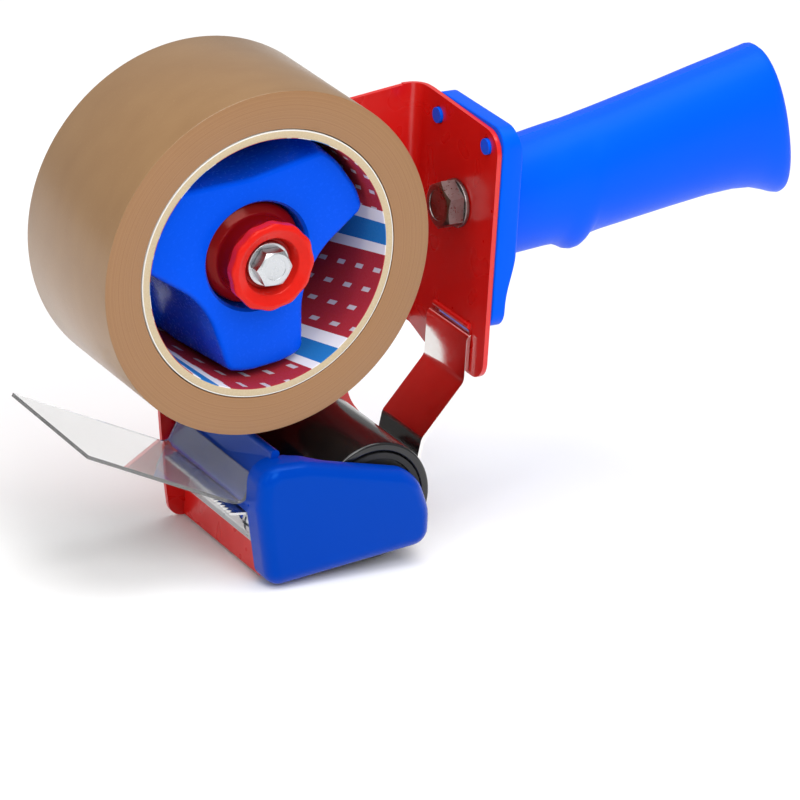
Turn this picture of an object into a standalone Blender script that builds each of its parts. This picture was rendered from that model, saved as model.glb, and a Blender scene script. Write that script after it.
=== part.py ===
"""Hand-held dispenser for 50 mm packing tape, modelled as the separate pieces a real one is made from.

Axes: +Z up along the rear plate, +X towards the handle, -Y towards the open side where rolls go on.
Every length below is in millimetres from the roll's axis; HUB puts that axis in the part's own frame.
"""
import math

import bmesh
import bpy
from mathutils import Vector

MM = 0.001
HUB = Vector((-67.61, -3.5, 100.84))       # roll axis in the part's frame

# roll and core
TAPE_WIDTH = 50.0
TAPE_R = 52.4
TAPE_INNER_R = 41.0
CORE_R = 40.7
CORE_BORE_R = 38.1

# bent steel frame
SHEET = 1.5
SIDE_Y = 28.0                            # inner face of the side plate
REAR_X = 77.7                            # front face of the rear plate
FOLD_R = 3.5                             # inside radius of the rear fold
FOLD_CENTRE_X = REAR_X - FOLD_R
FOLD_CENTRE_Y = SIDE_Y - FOLD_R
REAR_NEAR_Y = -18.9
REAR_TOP = 27.9
REAR_BOTTOM = -51.0
BAR_X = 4.8                              # front face of the crossbar
BAR_TOP = -91.5
BAR_BOTTOM = -101.2
MOUNT_X = BAR_X + SHEET                  # the blade mount steps back by one sheet
MOUNT_TOP = -80.6
CHEEK_Y = -27.6                          # outer face of the near cheek
BASE_SLOPE = 0.112                       # the base line rises this much per millimetre rearwards

# hub
HUB_FACE_Y = -18.0
HUB_BACK_Y = 25.1
HUB_R = 37.7
HUB_DRAFT = 2.2                          # the hub is this much slimmer at its face, so rolls go on easily
HUB_WALL = 2.0
LOBE_ANGLES = (36.5, 160.5, 278.0)
LOBE_HALF = 22.0
LOBE_CORNER = 3.2
WAIST_R = (26.6, 22.6, 18.6)             # after each lobe, counter-clockwise seen from the open side
WAIST_BEND = 26.0
RECESS_R = 16.2
RECESS_FLOOR = -8.0
FLANGE_R = 41.5
BORE_CLEAR = 0.07

# brake stack on the spindle
SPINDLE_R = 3.0
KNOB_R = 13.2
KNOB_BODY_R = 12.4
KNOB_REAR_R = 15.5
KNOB_REAR = -12.6
KNOB_SCALLOPS = 12

# pressure roller
ROLLER_X = 39.6
ROLLER_Z = -80.7
ROLLER_R = 18.7
ROLLER_CORE_R = 15.6
AXLE_R = 3.0

# guard
CAP_Y = -31.0
CAP_WALL = 1.8
CAP_RIM_Y = -21.5
WALL_TOP = (5.6, -60.6)
WALL_FOOT = (-1.8, -76.0)
WALL_T = 2.2

# flap
FLAP_T = 1.1
FLAP_Y = (-23.2, 26.3)
ROOT_Y = (-21.2, 26.3)
FLAP_BEND = (-3.0, -75.9)
FLAP_LENGTH = 57.0
FLAP_ANGLE = 24.8
ROOT_LENGTH = 7.6

# blade
BLADE_Y = (-21.2, 24.5)
BLADE_T = 0.8
TOOTH_PITCH = 2.0
TOOTH_DEPTH = 1.5
SCREW_Y = (-16.0, 16.0)
SCREW_Z = -85.0
PEG_Y = (-9.0, 9.0)
PEG_R = 1.6

# lever
LEVER_Y = 0.5
LEVER_HALF = 12.0
LEVER_T = 1.2
SLOT_HALF = 10.5
SLOT_Z = (-40.5, -37.6)

# handle
HANDLE_Y = 1.5
FLANGE_Z = (-34.8, 28.2)
GRIP_STATIONS = (                        # top x, top z, bottom x, bottom z, half width
    (80.5, 14.6, 80.5, -19.4, 15.0), (90.0, 16.0, 90.0, -19.0, 14.4), (100.0, 17.6, 99.0, -18.2, 14.0),
    (108.0, 19.2, 108.0, -17.5, 14.0), (112.0, 20.0, 111.5, -18.8, 14.0), (114.5, 20.5, 114.0, -19.8, 14.0),
    (117.0, 21.0, 116.2, -19.6, 14.0), (119.0, 21.4, 117.8, -18.2, 14.0), (121.0, 21.9, 119.4, -16.0, 14.0),
    (125.0, 22.8, 124.0, -14.8, 14.0), (135.0, 25.3, 135.0, -13.2, 14.0), (148.0, 28.6, 149.0, -11.0, 14.0),
    (160.0, 31.8, 162.0, -9.1, 14.2), (168.0, 33.8, 171.0, -8.4, 14.4), (173.0, 35.1, 178.0, -8.7, 14.6),
    (176.0, 36.0, 183.0, -10.2, 14.8), (178.0, 36.5, 187.0, -11.6, 14.8), (179.2, 36.0, 189.2, -11.8, 14.2),
    (180.0, 34.2, 190.2, -10.4, 13.0))
GRIP_FULLNESS = 2.2                      # 2 is an ellipse, more is squarer
BOLT_Z = -1.0
PIN_Z = 21.7
PIN_SPACING = 28.5
PIN_R = 2.4

COLOURS = {
    "red_paint": ((0.62, 0.015, 0.012), 0.28, 0.0),
    "red_plastic": ((0.70, 0.02, 0.012), 0.25, 0.0),
    "blue_plastic": ((0.0, 0.07, 0.62), 0.32, 0.0),
    "tape_brown": ((0.42, 0.25, 0.12), 0.30, 0.0),
    "cardboard": ((0.66, 0.54, 0.38), 0.85, 0.0),
    "zinc": ((0.72, 0.73, 0.74), 0.25, 1.0),
    "steel": ((0.62, 0.61, 0.58), 0.32, 1.0),
    "dark_steel": ((0.32, 0.30, 0.29), 0.35, 1.0),
    "black_rubber": ((0.012, 0.012, 0.013), 0.45, 0.0),
    "black_plastic": ((0.02, 0.02, 0.022), 0.5, 0.0),
    "fibre": ((0.16, 0.10, 0.06), 0.9, 0.0),
    "clear_plastic": ((0.90, 0.92, 0.93), 0.08, 0.0),
}


def clear_scene():
    for item in list(bpy.data.objects):
        bpy.data.objects.remove(item, do_unlink=True)


def material(node, kind):
    colour, roughness, metallic = COLOURS[kind]
    made = bpy.data.materials.new(node + "_" + kind)
    made.use_nodes = True
    shader = made.node_tree.nodes["Principled BSDF"]
    shader.inputs["Base Color"].default_value = (*colour, 1.0)
    shader.inputs["Roughness"].default_value = roughness
    shader.inputs["Metallic"].default_value = metallic
    return made


def add(name, bm, kind=None, pivot=(0.0, 0.0, 0.0), smooth=True):
    """Store a mesh drawn in millimetres from the roll's axis, with its origin on pivot."""
    turn_out(bm)
    shift = Vector(pivot)
    for vert in bm.verts:
        vert.co = (vert.co - shift) * MM
    mesh = bpy.data.meshes.new(name)
    bm.to_mesh(mesh)
    bm.free()
    item = bpy.data.objects.new(name, mesh)
    item.location = (HUB + shift) * MM
    bpy.context.scene.collection.objects.link(item)
    if kind:
        mesh.materials.append(material(name, kind))
    if smooth:
        mesh.shade_smooth()
        mesh.set_sharp_from_angle(angle=math.radians(32))
    return item


def turn_out(bm):
    """Turn all faces outwards."""
    bmesh.ops.recalc_face_normals(bm, faces=bm.faces)
    if bm.calc_volume(signed=True) < 0:
        bmesh.ops.reverse_faces(bm, faces=bm.faces)


def tool(name, bm):
    """A hidden cutter or joining body."""
    item = add(name, bm, smooth=False)
    item.hide_render = True
    item.display_type = "WIRE"
    return item


def combine(item, other, operation):
    step = item.modifiers.new(operation.lower() + "_" + other.name, "BOOLEAN")
    step.operation = operation
    step.solver = "EXACT"
    step.object = other


def cut(item, name, bm):
    combine(item, tool(name, bm), "DIFFERENCE")


def join(item, name, bm):
    combine(item, tool(name, bm), "UNION")


def keep(item, name, bm):
    combine(item, tool(name, bm), "INTERSECT")


# ---- outlines -------------------------------------------------------------

def rounded(corners, steps=5):
    """Closed outline from (u, v, radius) corners, each corner turned into an arc."""
    outline = []
    count = len(corners)
    for i, (u, v, radius) in enumerate(corners):
        here = Vector((u, v))
        back = (Vector(corners[i - 1][:2]) - here)
        ahead = (Vector(corners[(i + 1) % count][:2]) - here)
        if radius <= 0:
            outline.append((u, v))
            continue
        room = 0.49 * min(back.length, ahead.length)
        back.normalize()
        ahead.normalize()
        half = 0.5 * math.acos(max(-1.0, min(1.0, back.dot(ahead))))
        reach = min(radius / math.tan(half), room)
        arc_r = reach * math.tan(half)
        centre = here + (back + ahead).normalized() * (arc_r / math.sin(half))
        start = here + back * reach - centre
        end = here + ahead * reach - centre
        sweep = math.atan2(start.x * end.y - start.y * end.x, start.dot(end))
        for k in range(steps + 1):
            angle = sweep * k / steps
            spun = Vector((start.x * math.cos(angle) - start.y * math.sin(angle),
                           start.x * math.sin(angle) + start.y * math.cos(angle)))
            outline.append(tuple(centre + spun))
    return outline


def circle(u, v, radius, count=32, start=0.0):
    return [(u + radius * math.cos(start + 2 * math.pi * k / count),
             v + radius * math.sin(start + 2 * math.pi * k / count)) for k in range(count)]


def hexagon(u, v, across_flats, start=0.0):
    return circle(u, v, across_flats / math.sqrt(3.0), 6, start)


def inset(outline, distance):
    """Move each point of a closed outline inwards by distance (outwards if negative)."""
    area = sum(a[0] * b[1] - b[0] * a[1] for a, b in zip(outline, outline[1:] + outline[:1]))
    side = 1.0 if area > 0 else -1.0
    moved = []
    count = len(outline)
    for i, (u, v) in enumerate(outline):
        here = Vector((u, v))
        before = (here - Vector(outline[i - 1])).normalized()
        after = (Vector(outline[(i + 1) % count]) - here).normalized()
        normal_a = Vector((-before.y, before.x)) * side
        normal_b = Vector((-after.y, after.x)) * side
        middle = (normal_a + normal_b).normalized()
        moved.append(tuple(here + middle * (distance / max(0.5, middle.dot(normal_a)))))
    return moved


def strip(path, thickness):
    """Closed outline of a bent strip: path offset by thickness to its left."""
    left = []
    for i, (u, v) in enumerate(path):
        here = Vector((u, v))
        before = (here - Vector(path[i - 1])).normalized() if i else None
        after = (Vector(path[i + 1]) - here).normalized() if i + 1 < len(path) else None
        before = before or after
        after = after or before
        normal_a = Vector((-before.y, before.x))
        normal_b = Vector((-after.y, after.x))
        middle = (normal_a + normal_b).normalized()
        left.append(tuple(here + middle * (thickness / max(0.4, middle.dot(normal_a)))))
    return list(path) + left[::-1]


# ---- solids ---------------------------------------------------------------

def place(axis, u, v, w):
    """A point of an outline (u, v) at w along axis: X takes (y, z), Y takes (x, z), Z takes (x, y)."""
    if axis == "X":
        return Vector((w, u, v))
    if axis == "Y":
        return Vector((u, w, v))
    return Vector((u, v, w))


def stack(axis, layers):
    """Closed body through outlines of equal point count: layers are (w, outline)."""
    return loft([[place(axis, u, v, w) for u, v in outline] for w, outline in layers])


def loft(sections):
    """Closed body through rings of points, all of the same count."""
    bm = bmesh.new()
    rings = [[bm.verts.new(point) for point in section] for section in sections]
    count = len(rings[0])
    for low, high in zip(rings, rings[1:]):
        for i in range(count):
            j = (i + 1) % count
            bm.faces.new((low[i], low[j], high[j], high[i]))
    bm.faces.new(rings[0])
    bm.faces.new(rings[-1])
    return bm


def prism(axis, outline, low, high):
    return stack(axis, [(low, outline), (high, outline)])


def box(x, y, z):
    outline = [(x[0], z[0]), (x[1], z[0]), (x[1], z[1]), (x[0], z[1])]
    return prism("Y", outline, y[0], y[1])


def lathe(axis, u, v, profile, count=48, wave=None):
    """Turned body from (radius, w) points; a zero radius makes a pole. wave(w, angle) scales radii."""
    bm = bmesh.new()
    rings = []
    for radius, w in profile:
        if radius <= 0:
            rings.append([bm.verts.new(place(axis, u, v, w))])
            continue
        ring = []
        for k in range(count):
            angle = 2 * math.pi * k / count
            r = radius * (wave(radius, w, angle) if wave else 1.0)
            ring.append(bm.verts.new(place(axis, u + r * math.cos(angle), v + r * math.sin(angle), w)))
        rings.append(ring)
    closed = profile[0][0] > 0
    pairs = list(zip(rings, rings[1:] + rings[:1])) if closed else list(zip(rings, rings[1:]))
    for low, high in pairs:
        for k in range(count):
            j = (k + 1) % count
            if len(low) == 1:
                bm.faces.new((low[0], high[j], high[k]))
            elif len(high) == 1:
                bm.faces.new((low[k], low[j], high[0]))
            else:
                bm.faces.new((low[k], low[j], high[j], high[k]))
    return bm


def rod(axis, u, v, radius, low, high, count=32):
    return lathe(axis, u, v, [(0, low), (radius, low), (radius, high), (0, high)], count)


def ring(axis, u, v, inner, outer, low, high, count=32):
    return lathe(axis, u, v, [(inner, low), (outer, low), (outer, high), (inner, high)], count)


def base_line(x, lift=0.0):
    """Height of the sloping base under the side plate and guard."""
    return BAR_BOTTOM + 0.2 + BASE_SLOPE * (x - 3.6) + lift


# ---- pieces ---------------------------------------------------------------

def side_outline():
    return rounded([
        (FOLD_CENTRE_X, REAR_TOP, 0), (55.6, 25.4, 60), (14.0, 21.0, 25), (-9.0, 23.0, 16),
        (-25.5, 6.0, 18), (-21.0, -15.5, 16), (-5.5, -24.6, 4), (10.0, -36.5, 14), (4.0, -51.0, 12),
        (-6.3, -53.5, 4), (-2.0, -88.0, 6), (0.4, base_line(0.4), 5), (30.0, base_line(30.0), 0),
        (77.0, base_line(77.0), 2.5), (60.5, -72.5, 14), (56.5, -61.0, 12), (65.0, -50.5, 12),
        (FOLD_CENTRE_X, -47.6, 0)])


def make_frame():
    item = add("frame", prism("Y", side_outline(), SIDE_Y, SIDE_Y + SHEET), "red_paint", smooth=True)
    # the rear fold and plate: an L-shaped strip in plan, trimmed to the plate's outline
    fold = []
    for k in range(7):
        angle = math.radians(90 - 15 * k)
        fold.append((FOLD_CENTRE_X + FOLD_R * math.cos(angle), FOLD_CENTRE_Y + FOLD_R * math.sin(angle)))
    path = [(FOLD_CENTRE_X - 2.0, SIDE_Y)] + fold + [(REAR_X, REAR_NEAR_Y - 3.0)]
    bent = tool("rear_fold", prism("Z", strip(path, SHEET), REAR_BOTTOM - 4, REAR_TOP + 4))
    plate = rounded([
        (SIDE_Y + SHEET + 1, REAR_TOP, 0), (22.0, 28.2, 0), (REAR_NEAR_Y, 26.7, 7),
        (REAR_NEAR_Y, REAR_BOTTOM, 6), (15.5, REAR_BOTTOM, 3), (26.5, -47.6, 2),
        (SIDE_Y + SHEET + 1, -47.6, 0)], 4)
    keep(bent, "rear_outline", prism("X", plate, 60.0, 90.0))
    combine(item, bent, "UNION")
    # crossbar, blade mount and the near cheek that carries the roller
    bar = [(SIDE_Y + 0.7, BAR_BOTTOM + 0.6), (-20.8, BAR_BOTTOM + 0.6), (-20.8, -98.2),
           (CHEEK_Y + 0.4, -98.2), (CHEEK_Y + 0.4, BAR_TOP), (SIDE_Y + 0.7, BAR_TOP)]
    join(item, "crossbar", prism("X", bar, BAR_X, BAR_X + SHEET))
    join(item, "joggle", box((BAR_X + 0.2, MOUNT_X + SHEET - 0.2), (-25.0, SIDE_Y + 0.6),
                             (BAR_TOP - 1.5, BAR_TOP + 0.05)))
    join(item, "blade_mount", box((MOUNT_X, MOUNT_X + SHEET), (-25.3, SIDE_Y + 0.5),
                                  (BAR_TOP - 1.2, MOUNT_TOP)))
    cheek = rounded([(BAR_X + 0.1, -98.3, 0.8), (47.0, base_line(47.0, 3.2), 6), (52.0, -80.0, 10),
                     (42.0, -72.5, 8), (12.0, -76.0, 4), (BAR_X + 0.1, -90.5, 1)])
    join(item, "near_cheek", prism("Y", cheek, CHEEK_Y, CHEEK_Y + SHEET))
    # holes
    cut(item, "spindle_hole", rod("Y", 0, 0, SPINDLE_R + 0.25, 20, 40))
    cut(item, "far_axle_hole", rod("Y", ROLLER_X, ROLLER_Z, AXLE_R + 0.1, 20, 40))
    cut(item, "near_axle_hole", rod("Y", ROLLER_X, ROLLER_Z, AXLE_R + 0.1, -35, -20))
    cut(item, "handle_bolt_hole", rod("X", HANDLE_Y, BOLT_Z, 4.4, 70, 90))
    for k, side in enumerate((-0.5, 0.5)):
        cut(item, "pin_hole_%d" % k, rod("X", HANDLE_Y + side * PIN_SPACING, PIN_Z, PIN_R + 0.25, 70, 90, 24))
        cut(item, "screw_hole_%d" % k, rod("X", SCREW_Y[k], SCREW_Z, 2.15, MOUNT_X - 3, 12, 24))
        cut(item, "peg_hole_%d" % k, rod("X", PEG_Y[k], SCREW_Z, PEG_R + 0.3, MOUNT_X - 3, 12, 24))
    slot = rounded([(LEVER_Y - SLOT_HALF, SLOT_Z[0], 0.8), (LEVER_Y + SLOT_HALF, SLOT_Z[0], 0.8),
                    (LEVER_Y + SLOT_HALF, SLOT_Z[1], 1.2), (LEVER_Y - SLOT_HALF, SLOT_Z[1], 1.2)], 3)
    cut(item, "lever_slot", prism("X", slot, 70, 90))


def polar(radius, degrees):
    return (radius * math.cos(math.radians(degrees)), radius * math.sin(math.radians(degrees)))


def hub_outline(step=0.0):
    """Three lobes that fill the core, joined by hollow sides; step moves it all inwards."""
    corners = []
    half = LOBE_HALF - 0.6 * math.degrees(step / HUB_R)
    for lobe, waist, following in zip(LOBE_ANGLES, WAIST_R, LOBE_ANGLES[1:] + (LOBE_ANGLES[0] + 360,)):
        for k in range(-3, 4):
            corners.append((*polar(HUB_R - step, lobe + half * k / 3.0), LOBE_CORNER if abs(k) == 3 else 0))
        corners.append((*polar(waist - step, 0.5 * (lobe + following)), WAIST_BEND))
    return rounded(corners, 5)


def make_hub():
    edge = [(HUB_FACE_Y + depth, hub_outline(HUB_DRAFT + step))
            for depth, step in ((0.0, 1.9), (0.35, 0.9), (1.0, 0.3), (2.0, 0.0))]
    shell = stack("Y", edge + [(HUB_BACK_Y - 12.0, hub_outline()), (HUB_BACK_Y + 1.2, hub_outline())])
    item = add("hub", shell, "blue_plastic")
    join(item, "hub_flange", prism("Y", hub_outline(HUB_R - FLANGE_R), HUB_BACK_Y + 0.3, HUB_BACK_Y + 1.9))
    hollow = tool("hub_hollow", stack("Y", [(HUB_FACE_Y + 2.2, hub_outline(HUB_DRAFT + HUB_WALL)),
                                            (HUB_BACK_Y - 12.0, hub_outline(HUB_WALL)),
                                            (HUB_BACK_Y + 5, hub_outline(HUB_WALL))]))
    cup = [(0, HUB_FACE_Y - 1), (RECESS_R + 2.0, HUB_FACE_Y - 1), (RECESS_R + 1.6, RECESS_FLOOR + 2.0),
           (SPINDLE_R + 4.0, RECESS_FLOOR + 2.0), (SPINDLE_R + 3.6, 27.05), (0, 27.05)]
    combine(hollow, tool("hub_cup", lathe("Y", 0, 0, cup)), "DIFFERENCE")
    combine(item, hollow, "DIFFERENCE")
    recess = [(0, HUB_FACE_Y - 2), (RECESS_R + 0.8, HUB_FACE_Y - 2), (RECESS_R + 0.6, HUB_FACE_Y + 0.1),
              (RECESS_R, HUB_FACE_Y + 0.9), (RECESS_R - 0.3, RECESS_FLOOR), (0, RECESS_FLOOR)]
    cut(item, "hub_recess", lathe("Y", 0, 0, recess))
    cut(item, "hub_bore", rod("Y", 0, 0, SPINDLE_R + BORE_CLEAR, -30, 40))


def make_brake():
    head_back = -25.0
    bolt = add("spindle_bolt", rod("Y", 0, 0, SPINDLE_R, head_back - 1.0, 38.0), "zinc")
    head = stack("Y", [(head_back - 4.0, hexagon(0, 0, 9.2)), (head_back - 3.5, hexagon(0, 0, 10.0)),
                       (head_back, hexagon(0, 0, 10.0))])
    join(bolt, "spindle_head", head)
    add("head_washer", ring("Y", 0, 0, 3.2, 6.6, -24.8, -23.6), "zinc")

    def wave(radius, w, angle):
        return 1.0 + (0.025 * math.cos(KNOB_SCALLOPS * angle) if radius > 12.7 and w < -20 else 0.0)

    knob = [(SPINDLE_R + 0.3, -23.4), (7.4, -23.4), (8.6, -26.9), (9.8, -27.7), (11.8, -28.2),
            (KNOB_R - 0.3, -27.7), (KNOB_R, -26.6), (KNOB_R - 0.3, -24.6), (KNOB_BODY_R, -23.4),
            (KNOB_BODY_R - 0.3, -17.0), (KNOB_BODY_R + 0.6, -15.6), (KNOB_REAR_R - 0.5, -15.0),
            (KNOB_REAR_R, -14.3), (KNOB_REAR_R, -13.2), (KNOB_REAR_R - 0.5, KNOB_REAR),
            (10.6, KNOB_REAR), (10.4, -20.4), (SPINDLE_R + 0.3, -20.4)]
    add("brake_knob", lathe("Y", 0, 0, knob, 60, wave), "red_plastic")
    add("knob_seat", ring("Y", 0, 0, SPINDLE_R + 0.06, 9.6, -20.1, -18.9), "steel")
    coil_r = 7.0
    wire_r = 0.8
    turns = 3.0
    low = -18.7 + wire_r
    high = RECESS_FLOOR - 1.9 - wire_r
    add("brake_spring", coil(coil_r, wire_r, turns, low, high), "steel")
    add("brake_disc", ring("Y", 0, 0, SPINDLE_R + 0.1, 12.5, RECESS_FLOOR - 1.6, RECESS_FLOOR - 0.2), "fibre")
    add("rear_spacer", ring("Y", 0, 0, SPINDLE_R + 0.06, 7.5, 27.2, 27.85), "steel")
    add("spindle_lock_washer", ring("Y", 0, 0, 3.2, 6.2, SIDE_Y + SHEET + 0.15, SIDE_Y + SHEET + 1.5), "zinc")
    nut_body = prism("Y", hexagon(0, 0, 10.0), SIDE_Y + SHEET + 1.7, SIDE_Y + SHEET + 6.5)
    nut = add("spindle_nut", nut_body, "zinc", smooth=False)
    cut(nut, "spindle_nut_thread", rod("Y", 0, 0, SPINDLE_R + 0.06, 20, 45))


def coil(radius, wire, turns, low, high):
    """Round-wire spring along Y, its ends closed flat."""
    bm = bmesh.new()
    per_turn = 20
    total = int(turns * per_turn)
    sides = 6
    rings = []
    for k in range(total + 1):
        angle = 2 * math.pi * k / per_turn
        rise = low + (high - low) * k / total
        centre = Vector((radius * math.cos(angle), rise, radius * math.sin(angle)))
        outward = Vector((math.cos(angle), 0, math.sin(angle)))
        made = []
        for s in range(sides):
            around = 2 * math.pi * s / sides
            made.append(bm.verts.new(centre + outward * (wire * math.cos(around))
                                     + Vector((0, wire * math.sin(around), 0))))
        rings.append(made)
    for first, second in zip(rings, rings[1:]):
        for s in range(sides):
            t = (s + 1) % sides
            bm.faces.new((first[s], first[t], second[t], second[s]))
    bm.faces.new(rings[0])
    bm.faces.new(rings[-1])
    return bm


def make_roll():
    half = TAPE_WIDTH / 2
    tape = [(TAPE_INNER_R, -half), (TAPE_R - 0.25, -half), (TAPE_R, -half + 0.25),
            (TAPE_R, half - 0.25), (TAPE_R - 0.25, half), (TAPE_INNER_R, half)]
    add("tape", lathe("Y", 0, 0, tape, 80), "tape_brown")
    core = [(CORE_BORE_R, -half), (CORE_R, -half), (CORE_R, half), (CORE_BORE_R, half)]
    add("core", lathe("Y", 0, 0, core, 80), "cardboard")


def make_roller():
    centre = (ROLLER_X, 0.0, ROLLER_Z)
    tyre = [(ROLLER_CORE_R + 0.2, -25.0), (ROLLER_R - 0.8, -25.0), (ROLLER_R, -24.2), (ROLLER_R, 24.2),
            (ROLLER_R - 0.8, 25.0), (ROLLER_CORE_R + 0.2, 25.0)]
    add("roller_tyre", lathe("Y", ROLLER_X, ROLLER_Z, tyre, 48), "black_rubber", centre)
    core = [(AXLE_R + BORE_CLEAR, -25.7), (6.0, -25.7), (6.0, -24.2), (13.6, -24.2), (13.9, -25.2),
            (ROLLER_CORE_R, -25.2), (ROLLER_CORE_R, 25.2), (13.9, 25.2), (13.6, 24.2), (6.0, 24.2),
            (6.0, 27.5), (AXLE_R + BORE_CLEAR, 27.5)]
    add("roller_core", lathe("Y", ROLLER_X, ROLLER_Z, core, 36), "black_plastic", centre)
    add("axle", rod("Y", ROLLER_X, ROLLER_Z, AXLE_R, -28.75, 32.0), "steel")
    add("axle_clip_near", ring("Y", ROLLER_X, ROLLER_Z, AXLE_R + 0.05, 5.8, -28.6, -27.8, 32), "dark_steel")
    add("axle_clip_far", ring("Y", ROLLER_X, ROLLER_Z, AXLE_R + 0.05, 6.2, SIDE_Y + SHEET + 0.2,
                              SIDE_Y + SHEET + 1.1, 32), "dark_steel")


def cap_outline():
    return rounded([(-1.6, -62.0, 7.5), (14.0, -62.4, 10), (51.5, -71.0, 13), (56.6, -84.0, 12),
                    (56.9, base_line(56.9), 4), (3.2, base_line(3.2, 0.2), 3), (-1.5, -76.0, 12)], 7)


def make_guard():
    outline = cap_outline()
    layers = [(CAP_Y, inset(outline, 2.6)), (CAP_Y + 0.35, inset(outline, 1.4)),
              (CAP_Y + 1.2, inset(outline, 0.45)), (CAP_Y + 2.6, outline), (CAP_RIM_Y, outline)]
    item = add("guard", stack("Y", layers), "blue_plastic")
    inner = inset(outline, CAP_WALL)
    cut(item, "cap_hollow", prism("Y", inner, CAP_Y + 2.0, CAP_RIM_Y + 4))
    # the rim is only deep at the front, clear of the roller
    relief = [(19.5, -55.0), (70.0, -55.0), (70.0, -110.0), (16.0, -110.0)]
    cut(item, "cap_relief", prism("Y", relief, -26.0, CAP_RIM_Y + 5))
    # sloping front wall with a rounded bead along its top
    top = Vector(WALL_TOP)
    foot = Vector(WALL_FOOT)
    along = (top - foot).normalized()
    back = Vector((along.y, -along.x)) * WALL_T
    wall = [tuple(foot), tuple(top), tuple(top + back), tuple(foot + back)]
    join(item, "front_wall", prism("Y", wall, CAP_Y + 1.9, SIDE_Y - 0.6))
    bead = top + back * 0.5
    join(item, "wall_bead", rod("Y", bead.x, bead.y, 0.62 * WALL_T, CAP_Y + 3.0, SIDE_Y - 0.62, 16))
    ledge = [(foot.x + 0.3, foot.y + 0.6), (foot.x + 0.9, -78.9), (10.2, -78.9), (10.2, -77.0), (1.6, -75.6)]
    join(item, "ledge", prism("Y", ledge, CAP_Y + 3.5, SIDE_Y - 0.65))
    flange_x = MOUNT_X + SHEET + 0.25
    join(item, "screw_flange", box((flange_x, flange_x + 2.2), (CAP_RIM_Y - 2, SIDE_Y - 0.7), (-90.4, -78.0)))
    for k in (0, 1):
        join(item, "boss_%d" % k, rod("X", SCREW_Y[k], SCREW_Z, 4.2, flange_x + 1.0, flange_x + 5.4, 24))
        cut(item, "pilot_%d" % k, rod("X", SCREW_Y[k], SCREW_Z, 2.05, flange_x - 2, flange_x + 9, 24))
        join(item, "peg_%d" % k, rod("X", PEG_Y[k], SCREW_Z, PEG_R, BAR_X - 0.5, flange_x + 0.6, 24))


def make_blade():
    low, high = BLADE_Y
    teeth = [(high, 7.8 - 1.7), (high, -3.8)]
    count = int((high - low) / TOOTH_PITCH)
    for k in range(count):
        teeth.append((high - (k + 0.5) * TOOTH_PITCH, -3.8 - TOOTH_DEPTH))
        teeth.append((high - (k + 1.0) * TOOTH_PITCH, -3.8))
    teeth.append((low, 7.8 - 1.7))
    outline = [(x, y) for y, x in teeth]
    blade = add("blade", prism("Z", outline, -80.2, -80.2 + BLADE_T), "steel", smooth=False)
    join(blade, "blade_leg", box((5.3, 6.1), (low, high), (-90.0, -79.6)))
    clamp_path = [(5.0, -81.2), (5.0, -89.6), (3.9, -91.0)]
    clamp = add("blade_clamp", prism("Y", strip(clamp_path, -1.0), low + 0.4, high - 0.4), "zinc", smooth=False)
    for k in (0, 1):
        for item in (blade, clamp):
            cut(item, item.name + "_screw_hole_%d" % k, rod("X", SCREW_Y[k], SCREW_Z, 2.15, 2, 8, 24))
            cut(item, item.name + "_peg_hole_%d" % k, rod("X", PEG_Y[k], SCREW_Z, PEG_R + 0.3, 2, 8, 24))
    for k, name in enumerate(("screw_near", "screw_far")):
        head = [(0, 1.6), (1.6, 1.7), (2.9, 2.3), (3.6, 3.4), (3.6, 3.8), (1.9, 3.8), (1.9, 14.2), (0, 14.8)]
        screw = add(name, lathe("X", SCREW_Y[k], SCREW_Z, head, 24), "zinc")
        for j, reach in enumerate(((2.1, 0.5), (0.5, 2.1))):
            arm = box((1.0, 2.9), (SCREW_Y[k] - reach[0], SCREW_Y[k] + reach[0]),
                      (SCREW_Z - reach[1], SCREW_Z + reach[1]))
            cut(screw, "%s_recess_%d" % (name, j), arm)


def make_flap():
    foot = Vector(WALL_FOOT)
    along = (Vector(WALL_TOP) - foot).normalized()
    out = Vector((-along.y, along.x))
    start = foot + out * 0.25 + along * 0.9
    root = [tuple(start), tuple(start + along * ROOT_LENGTH), tuple(start + along * ROOT_LENGTH + out * FLAP_T),
            tuple(start + out * FLAP_T)]
    add("flap_root", prism("Y", root, *ROOT_Y), "clear_plastic", smooth=False)
    pivot = Vector(FLAP_BEND)
    reach = Vector((-math.cos(math.radians(FLAP_ANGLE)), math.sin(math.radians(FLAP_ANGLE))))
    up = Vector((reach.y, -reach.x)) * (FLAP_T / 2)
    near = pivot + reach * 0.7
    far = pivot + reach * FLAP_LENGTH
    leaf = [tuple(near + up), tuple(near - up), tuple(far - up), tuple(far + up)]
    add("flap_leaf", prism("Y", leaf, *FLAP_Y), "clear_plastic", (pivot.x, 0.0, pivot.y), smooth=False)


def lever_path():
    """Front surface of the lever from the hook behind the plate down to its tip."""
    return [(80.9, -43.6), (80.9, -39.6), (80.3, -38.7), (79.6, -38.4), (77.4, -38.4), (76.6, -38.8),
            (76.1, -39.8), (76.0, -51.2), (75.6, -53.0), (74.7, -54.5), (63.6, -68.2), (62.4, -70.2),
            (61.9, -72.0), (61.5, -76.0)]


def make_lever():
    outline = strip(lever_path(), LEVER_T)
    pivot = (78.4, LEVER_Y, SLOT_Z[0])
    item = add("lever", prism("Y", outline, LEVER_Y - LEVER_HALF, LEVER_Y + LEVER_HALF), "steel", pivot)
    # the tongue that passes through the slot is narrower than the blade of the lever
    for k, side in enumerate((-1, 1)):
        edge = sorted((LEVER_Y + side * (SLOT_HALF - 0.5), LEVER_Y + side * (LEVER_HALF + 2)))
        cut(item, "lever_shoulder_%d" % k, box((77.35, 84.0), edge, (-46.0, -36.0)))


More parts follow.
